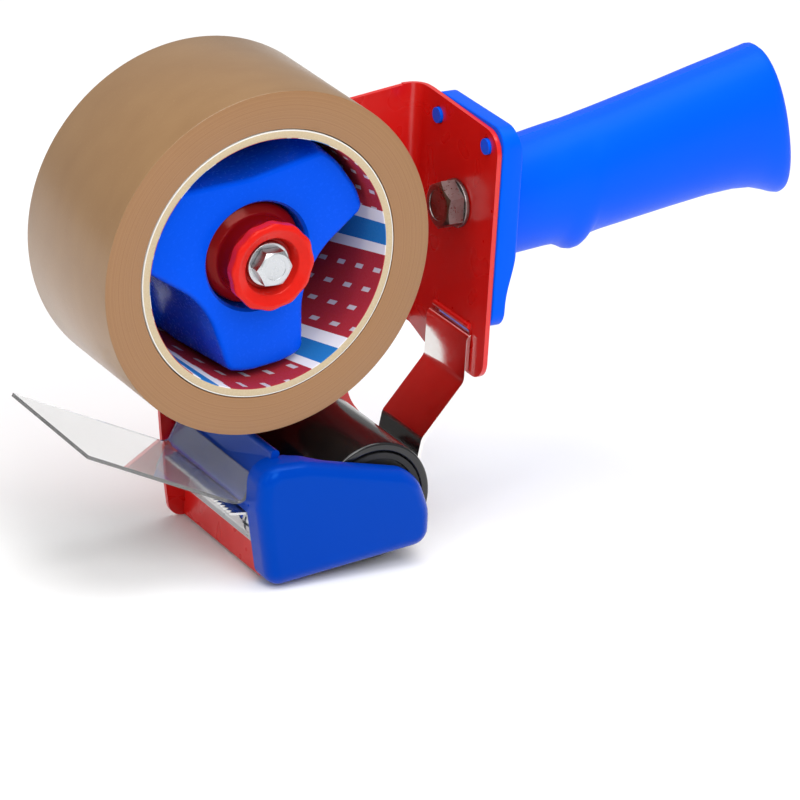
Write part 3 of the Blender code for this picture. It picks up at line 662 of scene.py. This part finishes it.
# %% Knob, bolt head and washer
WAVES = 12
WAVE_SIZE = 0.015
knob_section = [(3.3, -23.4, 0), (7.6, -23.4, 0.5), (8.7, -27.0, 0.8), (10.2, -27.6, 1.0),
                (11.6, -28.3, 0.8), (13.2, -27.7, 0.9), (13.2, -24.6, 0.9), (12.4, -23.2, 1.0),
                (12.2, -16.6, 1.4), (15.0, -15.0, 0.8), (15.5, -14.2, 0.5), (15.5, -12.6, 0.5),
                (10.6, -12.6, 0.3), (10.4, -20.4, 0), (3.3, -20.4, 0)]
knob_bm = turned("Y", 0, 0, knob_section, 168)
for vert in knob_bm.verts:
    offset = (vert.co - ROLL_AXIS) / MM
    reach = math.hypot(offset.x, offset.z)
    share = min(1.0, max(0.0, (reach - 11.4) / 1.4)) * min(1.0, max(0.0, (-23.0 - offset.y) / 1.2))
    swell = 1 + WAVE_SIZE * share * math.cos(WAVES * math.atan2(offset.z, offset.x))
    vert.co = ROLL_AXIS + Vector((offset.x * swell, offset.y, offset.z * swell)) * MM
finish_piece(solid("knob", knob_bm), "brake_knob_red", "knob", KNOB_RED, ["brake_knob"], angle=60)


def hex_corners(u, v, across_flats, turn):
    radius = across_flats / math.sqrt(3)
    return [(u + radius * math.cos(turn + k * math.pi / 3), v + radius * math.sin(turn + k * math.pi / 3), 0)
            for k in range(6)]


def hex_head(axis, u, v, across_flats, front, back, turn=0.0):
    """A bolt head between front and back, its corners chamfered by a cone."""
    grow = 1 if back > front else -1
    low, high = sorted((front, back))
    head = solid("head", plate(axis, hex_corners(u, v, across_flats, turn), low, high))
    half = across_flats / 2
    cone = [(0, front, 0), (half * 0.93, front, 0.2), (half * 1.2, front + grow * half * 0.16, 0),
            (half * 1.2, back + grow, 0), (0, back + grow, 0)]
    return carve(head, "INTERSECT", turned(axis, u, v, cone, 96))


bolt = hex_head("Y", 0, 0, 10.0, -29.0, -25.0)
dish = [(0, -31, 0), (3.5, -31, 0), (3.3, -28.8, 0.1), (0, -28.8, 0)]
carve(bolt, "DIFFERENCE", turned("Y", 0, 0, dish, 64))
shank = turned("Y", 0, 0, [(0, -25.5, 0), (3.0, -25.5, 0), (3.0, 37.4, 0), (2.4, 38.0, 0), (0, 38.0, 0)], 48)
carve(bolt, "UNION", shank)
finish_piece(bolt, "spindle_bolt_zinc", "base", ZINC, ["spindle_bolt"], edge=0.15)
washer = solid("washer", turned("Y", 0, 0, ring_section(3.2, 6.6, -24.8, -23.6, 0.25), 96))
finish_piece(washer, "head_washer_zinc", "base", ZINC, ["head_washer"])

# %% [markdown]
# ## The frame
# One blank of 1.5 mm steel is cut, pierced and folded: a tall side plate that carries the spindle, a
# rear plate for the handle, and a low crossbar for the blade. We draw each flat region, fold the
# rear edge with a real inside radius, and join them into one piece.

# %% Frame
SHEET = 1.5
SIDE_Y = 28.0
REAR_X = 77.7
FOLD_R = 3.5
FOLD_X = REAR_X - FOLD_R
FOLD_Y = SIDE_Y - FOLD_R
BAR_X = 4.8
MOUNT_X = BAR_X + SHEET


def base_line(x, lift=0.0):
    """The underside of the tool climbs slightly to the rear."""
    return -101.0 + 0.112 * (x - 3.6) + lift


side_corners = [(FOLD_X, 27.9, 0), (55.6, 25.4, 60), (14.0, 21.0, 25), (-9.0, 23.0, 16), (-25.5, 6.0, 18),
                (-21.0, -15.5, 16), (-5.5, -24.6, 4), (10.0, -36.5, 14), (4.0, -51.0, 12), (-6.3, -53.5, 4),
                (-2.0, -88.0, 6), (0.4, base_line(0.4), 5), (30.0, base_line(30.0), 0),
                (77.0, base_line(77.0), 2.5), (60.5, -72.5, 14), (56.5, -61.0, 12), (65.0, -50.5, 12),
                (FOLD_X, -47.6, 0)]
steel = solid("frame", plate("Y", side_corners, SIDE_Y, SIDE_Y + SHEET, 12))

fold_bm = bmesh.new()
edge_points = [fold_bm.verts.new(spot(FOLD_X, SIDE_Y, z)) for z in (-55, 35)]
rise = fold_bm.edges.new(edge_points)
bmesh.ops.spin(fold_bm, geom=[*edge_points, rise], cent=spot(FOLD_X, FOLD_Y, 0), axis=(0, 0, -1),
               angle=math.pi / 2, steps=14, use_merge=False, use_duplicate=False)
for level, shift in ((spot(0, FOLD_Y, 0).y, (0, (-23.5 - FOLD_Y) * MM, 0)),
                     (spot(0, SIDE_Y, 0).y, (-2 * MM, 0, 0))):
    ends = [e for e in fold_bm.edges if all(abs(v.co.y - level) < 1e-7 for v in e.verts)
            and abs((e.verts[0].co - e.verts[1].co).z) > 1e-3]
    made = bmesh.ops.extrude_edge_only(fold_bm, edges=ends)
    bmesh.ops.translate(fold_bm, verts=new_verts(made), vec=shift)
bmesh.ops.recalc_face_normals(fold_bm, faces=fold_bm.faces[:])
made = bmesh.ops.extrude_face_region(fold_bm, geom=fold_bm.faces[:], use_keep_orig=True)
fold_bm.normal_update()
axis_xy = spot(FOLD_X, FOLD_Y, 0)
for vert in new_verts(made):
    flat_x = vert.co.x > axis_xy.x - 1e-7
    flat_y = vert.co.y > axis_xy.y - 1e-7
    push = Vector((vert.co.x - axis_xy.x if flat_x else 0, vert.co.y - axis_xy.y if flat_y else 0, 0))
    vert.co += push.normalized() * SHEET * MM
bmesh.ops.recalc_face_normals(fold_bm, faces=fold_bm.faces[:])
rear = solid("rear", fold_bm)
rear_corners = [(30.5, 27.9, 0), (22.0, 28.2, 0), (-18.9, 26.7, 7), (-18.9, -51.0, 6), (15.5, -51.0, 3),
                (26.5, -47.6, 2), (30.5, -47.6, 0)]
carve(rear, "INTERSECT", plate("X", rear_corners, 60, 95, 10))
carve(steel, "UNION", rear)
print("folded sheet has", len(steel.data.polygons), "faces")

# %% [markdown]
# The crossbar joins the side plate to a small near cheek that carries the roller's axle. Its upper half
# is stepped back by one sheet, so that blade and clamp lie flush. A thin rod above the lever's slot
# makes its pressed lip. Holes and the slot come last, as a punch would make them.

# %% Crossbar, cheek and holes
SCREW_Y = (-16.0, 16.0)
SCREW_Z = -85.0
PEG_Y = (-9.0, 9.0)
HANDLE_Y = 1.5
BOLT_Z = -1.0
PIN_Z = 21.7
PIN_Y = (HANDLE_Y - 14.25, HANDLE_Y + 14.25)
ROLLER_X = 39.6
ROLLER_Z = -80.7
LEVER_Y = 0.5
SLOT_HALF = 10.5
bar_corners = [(28.7, -100.4, 0), (-20.8, -100.4, 0), (-20.8, -98.2, 0), (-27.2, -98.2, 0), (-27.2, -91.5, 0),
               (28.7, -91.5, 0)]
cheek_corners = [(BAR_X + 0.1, -98.3, 0.8), (47.0, base_line(47.0, 3.2), 6), (52.0, -80.0, 10),
                 (42.0, -72.5, 8), (12.0, -76.0, 4), (BAR_X + 0.1, -90.5, 1)]
carve(steel, "UNION", plate("X", bar_corners, BAR_X, BAR_X + SHEET),
      block((BAR_X + 0.2, MOUNT_X + SHEET - 0.2), (-25.0, 28.6), (-93.0, -91.45)),
      block((MOUNT_X, MOUNT_X + SHEET), (-25.3, 28.5), (-92.7, -80.6)),
      plate("Y", cheek_corners, -27.6, -26.1),
      rod("Y", REAR_X, -36.3, 0.9, LEVER_Y - SLOT_HALF, LEVER_Y + SLOT_HALF, 32))
slot_corners = [(LEVER_Y - SLOT_HALF, -40.5, 0.8), (LEVER_Y + SLOT_HALF, -40.5, 0.8),
                (LEVER_Y + SLOT_HALF, -37.6, 1.2), (LEVER_Y - SLOT_HALF, -37.6, 1.2)]
holes = [rod("Y", 0, 0, 3.25, 20, 40), rod("Y", ROLLER_X, ROLLER_Z, 3.1, 20, 40),
         rod("Y", ROLLER_X, ROLLER_Z, 3.1, -35, -20), rod("X", HANDLE_Y, BOLT_Z, 4.4, 70, 90),
         plate("X", slot_corners, 70, 90)]
for k in (0, 1):
    holes.append(rod("X", PIN_Y[k], PIN_Z, 2.65, 70, 90, 48))
    holes.append(rod("X", SCREW_Y[k], SCREW_Z, 2.15, 3, 12, 32))
    holes.append(rod("X", PEG_Y[k], SCREW_Z, 1.9, 3, 12, 32))
carve(steel, "DIFFERENCE", *holes)
finish_piece(steel, "frame_red_steel", "base", POWDER_COAT, ["frame"], edge=0.28, segments=3, angle=30)

# %% [markdown]
# ## The handle
# The grip widens towards its end and droops into a small heel, and a ridge underneath stops the
# forefinger. Behind the rear plate it has a flange that thins towards its top and bottom. A moulded
# grip like this is a loft: oval cross-sections strung along its length, with the skin bridged between
# them. The two halves of the mould leave a fine seam along the top and bottom, so each oval dips
# slightly there.

# %% Handle
# each station: top x, top z, bottom x, bottom z, half width
STATIONS = [
    (80.5, 14.6, 80.5, -19.4, 15.0), (90, 16.0, 90, -19.0, 14.4), (100, 17.6, 99, -18.2, 14.0),
    (106, 18.8, 105, -17.6, 14.0), (109, 19.4, 108.6, -17.5, 14.0), (111.5, 19.9, 111, -18.5, 14.0),
    (113, 20.2, 112.8, -19.5, 14.0), (115, 20.6, 114.6, -19.9, 14.0), (116.8, 21.0, 116.2, -19.6, 14.0),
    (118.4, 21.3, 117.4, -18.6, 14.0), (120, 21.7, 118.6, -16.8, 14.0), (121.5, 22.0, 119.8, -15.8, 14.0),
    (125, 22.8, 124, -14.9, 14.0), (135, 25.3, 135, -13.2, 14.0), (148, 28.6, 149, -11.0, 14.0),
    (160, 31.8, 162, -9.1, 14.2), (168, 33.8, 171, -8.4, 14.4), (173, 35.1, 178, -8.7, 14.6),
    (176, 35.9, 183, -10.1, 14.8), (177.6, 36.4, 186, -11.2, 14.9), (178.7, 36.4, 188.2, -11.7, 14.6),
    (179.4, 35.8, 189.4, -11.3, 14.0), (179.9, 34.6, 190.0, -10.0, 13.0), (180.1, 32.8, 190.1, -8.2, 11.6)]
OVAL_POINTS = 72
FULLNESS = 2.2
SEAM_HALF = 0.2
SEAM_DEPTH = 0.2


def section(bm, top_x, top_z, bottom_x, bottom_z, half_width):
    """One oval cross-section of the grip with its seam; returns its loop of edges."""
    ring = bmesh.ops.create_circle(bm, cap_ends=False, segments=OVAL_POINTS, radius=1.0)["verts"]
    up = Vector(((top_x - bottom_x) / 2, 0, (top_z - bottom_z) / 2))
    middle = Vector(((top_x + bottom_x) / 2, HANDLE_Y, (top_z + bottom_z) / 2))
    for vert in ring:
        across, rise = (math.copysign(abs(part) ** (2 / FULLNESS), part) for part in vert.co.xy)
        if abs(vert.co.x) < 0.01:
            across, rise = 0.0, math.copysign(1 - SEAM_DEPTH / up.length, rise)
        elif abs(vert.co.x) < 0.1:
            across = math.copysign(SEAM_HALF / half_width, across)
        vert.co = ROLL_AXIS + (middle + ALONG["Y"] * across * half_width + up * rise) * MM
    return list({edge for vert in ring for edge in vert.link_edges})


grip_bm = bmesh.new()
loops = [section(grip_bm, *station) for station in STATIONS]
print("grip is strung on", len(loops), "ovals")
for near, far in zip(loops, loops[1:]):
    bmesh.ops.bridge_loops(grip_bm, edges=near + far)
for end in (loops[0], loops[-1]):
    bmesh.ops.contextual_create(grip_bm, geom=end)
bmesh.ops.recalc_face_normals(grip_bm, faces=grip_bm.faces[:])
grip = solid("handle", grip_bm)
flange_corners = [(HANDLE_Y - 21, 28.2, 6), (HANDLE_Y - 21, -34.8, 6), (HANDLE_Y + 21, -34.8, 6),
                  (HANDLE_Y + 21, 28.2, 6)]
FLANGE_X = (79.4, 86.6)
flange_bm = plate("X", flange_corners, *FLANGE_X)
round_rim(flange_bm, "X", FLANGE_X[1], 1.4, 5)
round_rim(flange_bm, "X", FLANGE_X[0], 0.5, 3)
flange = solid("flange", flange_bm)
taper = [(83.4, -40, 0), (90, -40, 0), (90, -10.5, 0), (86.58, -10.5, 0), (83.6, -24, 30)]
thin_top = [(83.9, 30, 0), (86.58, 17, 0), (90, 17, 0), (90, 30, 0)]
carve(flange, "DIFFERENCE", plate("Y", taper, -30, 35), plate("Y", thin_top, -30, 35))
carve(grip, "UNION", flange)
carve(grip, "UNION", *[rod("X", y, PIN_Z, 2.4, 76.8, 82, 48) for y in PIN_Y])
bore = turned("X", HANDLE_Y, BOLT_Z, [(0, 76, 0), (4.15, 76, 0), (4.15, 117, 0), (0, 119, 0)], 48)
carve(grip, "DIFFERENCE", bore)
finish_piece(grip, "handle_grip", "base", HANDLE_BLUE, ["handle"], angle=32)

# %% [markdown]
# The handle is held by one large bolt. Its head stands proud of the rear plate on a washer, dark and oily.

# %% Handle bolt
PLATE_FACE = REAR_X - 0.2
handle_washer = solid("handle washer", turned("X", HANDLE_Y, BOLT_Z,
                                              ring_section(4.3, 7.4, PLATE_FACE - 1.4, PLATE_FACE, 0.3), 96))
finish_piece(handle_washer, "handle_washer_dark", "base", DARK_STEEL, ["handle_washer"])
handle_bolt = hex_head("X", HANDLE_Y, BOLT_Z, 13.0, PLATE_FACE - 7.0, PLATE_FACE - 1.6, math.radians(30))
dish_floor = PLATE_FACE - 6.7
dish = [(0, 68, 0), (5.0, 68, 0), (4.6, dish_floor, 0.2), (0, dish_floor, 0)]
carve(handle_bolt, "DIFFERENCE", turned("X", HANDLE_Y, BOLT_Z, dish, 64))
carve(handle_bolt, "UNION", rod("X", HANDLE_Y, BOLT_Z, 4.0, PLATE_FACE - 2.6, 112, 48))
finish_piece(handle_bolt, "handle_bolt_dark", "base", DARK_STEEL, ["handle_bolt"], edge=0.2)

# %% [markdown]
# ## The guard
# The guard is one glossy moulding: a soft-edged cap over the near end of the roller, and a sloping wall
# in front of it that keeps fingers off the blade. The cap's outer edge has a generous
# radius, which is where its long highlight sits.

# %% Guard
CAP_Y = -31.0
CAP_RIM = -21.5
WALL_TOP = Vector((5.6, -60.6))
WALL_FOOT = Vector((-1.8, -76.0))
WALL_ALONG = (WALL_TOP - WALL_FOOT).normalized()
WALL_BACK = Vector((WALL_ALONG.y, -WALL_ALONG.x))
CAP = [(-1.6, -62.0, 7.5), (14.0, -62.4, 10), (51.5, -71.0, 13), (56.6, -84.0, 12),
       (56.9, base_line(56.9), 5.5), (3.2, base_line(3.2), 5), (-1.5, -76.0, 12)]
cap_bm = plate("Y", CAP, CAP_Y, CAP_RIM, 14)
round_rim(cap_bm, "Y", CAP_Y, 4.2, 10)
guard = solid("guard", cap_bm)
middle = Vector((27.0, -82.0))
inner = [(middle.x + (u - middle.x) * 0.935, middle.y + (v - middle.y) * 0.905, max(r - 1.8, 1))
         for u, v, r in CAP]
# the cap is deep at the front and slopes down to a shallow rim beside the roller
relief = [(9.0, CAP_RIM + 5, 0), (9.0, CAP_RIM, 8), (20.5, -26.0, 12), (70, -26.0, 0), (70, CAP_RIM + 5, 0)]
carve(guard, "DIFFERENCE", plate("Y", inner, CAP_Y + 2.0, CAP_RIM + 4, 10),
      plate("Z", relief, -110, -55))


def flat_point(vector, radius=0.0):
    return (vector.x, vector.y, radius)


wall = [flat_point(WALL_FOOT), flat_point(WALL_TOP), flat_point(WALL_TOP + WALL_BACK * 2.2),
        flat_point(WALL_FOOT + WALL_BACK * 2.2)]
bead = WALL_TOP + WALL_BACK * 1.1
flange_x = MOUNT_X + SHEET + 0.25
ledge = [(-1.5, -75.4, 0), (-0.9, -78.9, 0), (10.2, -78.9, 0), (10.2, -77.0, 0), (1.6, -75.6, 0)]
carve(guard, "UNION", plate("Y", wall, CAP_RIM - 1.5, SIDE_Y - 0.6),
      rod("Y", bead.x, bead.y, 1.36, CAP_RIM - 1.48, SIDE_Y - 0.62, 32),
      plate("Y", ledge, CAP_Y + 3.5, SIDE_Y - 0.65),
      block((flange_x, flange_x + 2.2), (CAP_RIM - 2, SIDE_Y - 0.7), (-90.4, -78.0)),
      *[rod("X", y, SCREW_Z, 4.2, flange_x + 1.0, flange_x + 5.4, 48) for y in SCREW_Y],
      *[rod("X", y, SCREW_Z, 1.6, BAR_X - 0.5, flange_x + 0.6, 32) for y in PEG_Y])
carve(guard, "DIFFERENCE", *[rod("X", y, SCREW_Z, 2.05, flange_x - 2, flange_x + 9, 32) for y in SCREW_Y])
finish_piece(guard, "guard_blue", "base", GUARD_BLUE_PAINTED_SHADE, ["guard"], edge=0.3, angle=34)

# %% [markdown]
# ## Blade, clamp and screws
# The blade is a thin steel angle with teeth along its front edge. We build one outline that zigzags
# and pull it up by the thickness of the sheet, then add the leg that is clamped to the crossbar.

# %% Blade and clamp
BLADE_Y = (-21.2, 24.5)
TOOTH = 2.0
zigzag = [(6.1, BLADE_Y[1], 0), (-3.8, BLADE_Y[1], 0)]
for k in range(int((BLADE_Y[1] - BLADE_Y[0]) / TOOTH)):
    zigzag.append((-5.3, BLADE_Y[1] - (k + 0.5) * TOOTH, 0))
    zigzag.append((-3.8, BLADE_Y[1] - (k + 1.0) * TOOTH, 0))
zigzag.append((6.1, BLADE_Y[0], 0))
blade = solid("blade", plate("Z", zigzag, -80.2, -79.4))
carve(blade, "UNION", block((5.3, 6.1), BLADE_Y, (-90.0, -79.6)))
carve(blade, "DIFFERENCE", *[rod("X", y, SCREW_Z, 2.15, 2, 8, 32) for y in SCREW_Y],
      *[rod("X", y, SCREW_Z, 1.9, 2, 8, 32) for y in PEG_Y])
finish_piece(blade, "blade_steel", "base", BLADE_STEEL, ["blade"], edge=0.12)
clamp_section = [(5.0, -81.2, 0), (4.0, -81.2, 0), (4.0, -89.3, 0.8), (3.1, -90.4, 0), (3.9, -91.0, 0),
                 (5.0, -89.6, 1.0)]
clamp = solid("clamp", plate("Y", clamp_section, BLADE_Y[0] + 0.4, BLADE_Y[1] - 0.4))
carve(clamp, "DIFFERENCE", *[rod("X", y, SCREW_Z, 2.15, 2, 8, 32) for y in SCREW_Y],
      *[rod("X", y, SCREW_Z, 1.9, 2, 8, 32) for y in PEG_Y])
finish_piece(clamp, "blade_clamp_plate", "base", CLAMP_STEEL, ["blade_clamp"], edge=0.12)

# %% [markdown]
# Two pan-head screws with a cross recess hold blade, clamp and guard. The recess is two
# crossed blocks taken out of a turned head.

# %% Screws
HEAD = [(0, 1.55, 0), (1.6, 1.65, 0.6), (3.0, 2.3, 1.0), (3.6, 3.4, 0.3), (3.6, 3.8, 0), (1.9, 3.8, 0),
        (1.9, 14.2, 0.3), (0, 14.8, 0)]
for name, y in zip(("screw_near", "screw_far"), SCREW_Y):
    screw = solid(name + " head", turned("X", y, SCREW_Z, HEAD, 64))
    carve(screw, "DIFFERENCE", block((1.0, 2.9), (y - 2.0, y + 2.0), (SCREW_Z - 0.45, SCREW_Z + 0.45)),
          block((1.0, 2.9), (y - 0.45, y + 0.45), (SCREW_Z - 2.0, SCREW_Z + 2.0)))
    finish_piece(screw, name + "_zinc", "base", ZINC, [name], edge=0.08)

# %% [markdown]
# ## Roller
# The tyre is a plain rubber tube with softened ends. Its moulded core stays as the frame has it.

# %% Roller tyre
tyre_section = ring_section(15.8, 18.7, -HALF_WIDTH, HALF_WIDTH, 0.9)
tyre = solid("tyre", turned("Y", ROLLER_X, ROLLER_Z, tyre_section, 160, 5))
finish_piece(tyre, "roller_tyre_black", "roller", RUBBER, ["roller_tyre"], angle=60)

# %% [markdown]
# ## Lever
# A nickel-plated strip hooks through the slot in the rear plate and bears on the roller. We list its
# outline, one sheet thick, pull it across its width, and round each bend with the vertex bevel.

# %% Lever
lever_section = [(80.9, -43.6, 0.3), (80.9, -39.4, 1.6), (80.2, -38.4, 1.4), (76.9, -38.4, 1.6),
                 (76.0, -39.6, 1.6), (76.0, -53.2, 3.5), (62.6, -69.6, 3.5), (61.5, -76.0, 0.4),
                 (62.7, -75.9, 0.4), (63.7, -70.2, 2.4), (77.2, -53.7, 4.6), (77.2, -40.2, 0.5),
                 (77.7, -39.6, 0.4), (79.4, -39.6, 0.4), (79.7, -40.0, 0.4), (79.7, -43.6, 0.3)]
lever = solid("lever", plate("Y", lever_section, LEVER_Y - 12, LEVER_Y + 12, 6))
carve(lever, "DIFFERENCE", block((77.35, 84), (LEVER_Y - 14, LEVER_Y - 10), (-46, -36)),
      block((77.35, 84), (LEVER_Y + 10, LEVER_Y + 14), (-46, -36)))
finish_piece(lever, "lever_nickel", "lever", NICKEL, ["lever"], edge=0.25, segments=3)

# %% [markdown]
# ## Flap
# The clear flap wipes the tape down behind the cut. It is one sheet with a soft bend at its root, so
# here it is one piece too. Many short steps along the sheet make the bend smooth, and past the bend
# its near side flares out a little.

# %% Flap
FLAP_T = 1.1
FLAP_Y = (-21.2, 26.3)
FLAP_FLARE = 2.0
FLAP_PIVOT = Vector((-3.0, -75.9))
FLAP_LENGTH = 57.0
FLAP_ANGLE = math.radians(24.8)
ROOT_LENGTH = 7.6
leaf_dir = Vector((-math.cos(FLAP_ANGLE), math.sin(FLAP_ANGLE)))
root_dir = WALL_ALONG
root_top = WALL_FOOT - WALL_BACK * (0.25 + FLAP_T / 2) + root_dir * (0.9 + ROOT_LENGTH)
root_foot = root_top - root_dir * (ROOT_LENGTH - 0.6)
LEAF_STEPS = 28
BEND_STEPS = 8
path = [root_top.lerp(root_foot, k / 4) for k in range(5)]
bend_end = FLAP_PIVOT + leaf_dir * 2.4
for k in range(1, BEND_STEPS + 1):
    share = k / BEND_STEPS
    corner = FLAP_PIVOT + Vector((0.35, 0.35))
    path.append(root_foot.lerp(corner, share).lerp(corner.lerp(bend_end, share), share))
leaf_tip = FLAP_PIVOT + leaf_dir * FLAP_LENGTH
for k in range(1, LEAF_STEPS + 1):
    path.append(bend_end.lerp(leaf_tip, k / LEAF_STEPS))
flap_bm = bmesh.new()
line = [flap_bm.verts.new(spot(p.x, FLAP_Y[0], p.y)) for p in path]
edges = [flap_bm.edges.new(pair) for pair in zip(line, line[1:])]
made = bmesh.ops.extrude_edge_only(flap_bm, edges=edges)
bmesh.ops.translate(flap_bm, verts=new_verts(made), vec=(0, (FLAP_Y[1] - FLAP_Y[0]) * MM, 0))
for vert in flap_bm.verts:
    offset = (vert.co - ROLL_AXIS) / MM
    if offset.y < 0:
        vert.co.y -= FLAP_FLARE * MM * min(1.0, max(0.0, (FLAP_PIVOT.x - 1 - offset.x) / 5))
bmesh.ops.recalc_face_normals(flap_bm, faces=flap_bm.faces[:])
flap = solid("flap", flap_bm)
shell = flap.modifiers.new("thickness", "SOLIDIFY")
shell.thickness = FLAP_T * MM
shell.offset = 0
shell.use_even_offset = True
settle(flap)
flap.data.materials.append(CLEAR_SHEET)
flap.data.shade_smooth()
flap.data.set_sharp_from_angle(angle=math.radians(40))
flap.name = "flap_clear_sheet"
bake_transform(flap)
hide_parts("flap_root", "flap_leaf")
print("flap has", len(flap.data.polygons), "faces")

# %% [markdown]
# ## Small parts that the frame already shapes well
# Axle, clips, seat, spring, spacer, nut and inner roller are right as they are. They only
# need their real finishes.

# %% Finishes for the carried-over parts
CARRIED = {"axle": ZINC, "axle_clip_near": DARK_STEEL, "axle_clip_far": DARK_STEEL, "knob_seat": ZINC,
           "brake_spring": DARK_STEEL, "brake_disc": FIBRE, "rear_spacer": ZINC, "spindle_lock_washer": ZINC,
           "spindle_nut": ZINC, "roller_core": BLACK_MOULDING}
for node, finish in CARRIED.items():
    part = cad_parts[node]
    part.data.materials.clear()
    part.data.materials.append(finish)
print("painted", len(CARRIED), "carried-over parts")

# %% [markdown]
# ## Studio
# A plain pale floor and large soft lights keep attention on the tool. The camera stands well back with
# a long lens, to the open side and a little above, so that the roll's face, the knob and the guard
# all show.

# %% Floor, light and camera
floor_bm = bmesh.new()
bmesh.ops.create_grid(floor_bm, x_segments=1, y_segments=1, size=4.0)
floor = solid("floor", floor_bm)
floor.location.z = CAD_BOX[0][2] - 0.0005
paper = Finish("floor_paper", {"Roughness": 0.9, "Specular IOR Level": 0.1})
paper.drive("Base Color", rgb(0.92, 0.92, 0.92))
floor.data.materials.append(paper.material)

scene = bpy.context.scene
scene.view_settings.view_transform = "Standard"
world = bpy.data.worlds.new("studio")
world.use_nodes = True
world.node_tree.nodes["Background"].inputs["Color"].default_value = rgb(1.0, 1.0, 1.0)
world.node_tree.nodes["Background"].inputs["Strength"].default_value = 0.42
scene.world = world
TARGET = spot(36.4, -41.6, -41.1)


def direction(azimuth, elevation):
    """From the tool towards a viewer at an azimuth and elevation in degrees."""
    a = math.radians(azimuth)
    e = math.radians(elevation)
    return Vector((math.sin(a) * math.cos(e), -math.cos(a) * math.cos(e), math.sin(e)))


def softbox(name, azimuth, elevation, distance, width, height, power):
    data = bpy.data.lights.new(name, "AREA")
    data.shape = "RECTANGLE"
    data.size = width
    data.size_y = height
    data.energy = power
    lamp = bpy.data.objects.new(name, data)
    scene.collection.objects.link(lamp)
    away = direction(azimuth, elevation)
    lamp.location = TARGET + away * distance
    lamp.rotation_euler = away.to_track_quat("Z", "Y").to_euler()


softbox("key", -8, 42, 1.4, 0.7, 0.7, 9)
softbox("overhead", 30, 82, 1.4, 1.2, 1.2, 17)
softbox("left panel", -100, 30, 1.6, 0.5, 0.9, 1.2)
softbox("low strip", -100, 4, 1.2, 0.1, 0.5, 1.5)
softbox("edge strip", -62, 35, 1.3, 0.10, 0.9, 2)

camera_data = bpy.data.cameras.new("camera")
camera_data.sensor_width = 36.0
camera_data.lens = 256.7
camera_data.clip_end = 20.0
camera = bpy.data.objects.new("camera", camera_data)
scene.collection.objects.link(camera)
VIEW_AZIMUTH = -30.79
VIEW_ELEVATION = 22.69
VIEW_ROLL = 3.65
turn = (Matrix.Rotation(math.radians(VIEW_AZIMUTH), 4, "Z")
        @ Matrix.Rotation(math.radians(90 - VIEW_ELEVATION), 4, "X")
        @ Matrix.Rotation(math.radians(VIEW_ROLL), 4, "Z"))
camera.matrix_world = Matrix.Translation(TARGET + direction(VIEW_AZIMUTH, VIEW_ELEVATION) * 1.650) @ turn
scene.camera = camera
print("camera at", [round(c, 3) for c in camera.location])

# %% Print the frame's outer box
print("box with CAD:", [[round(c, 4) for c in corner] for corner in CAD_BOX])
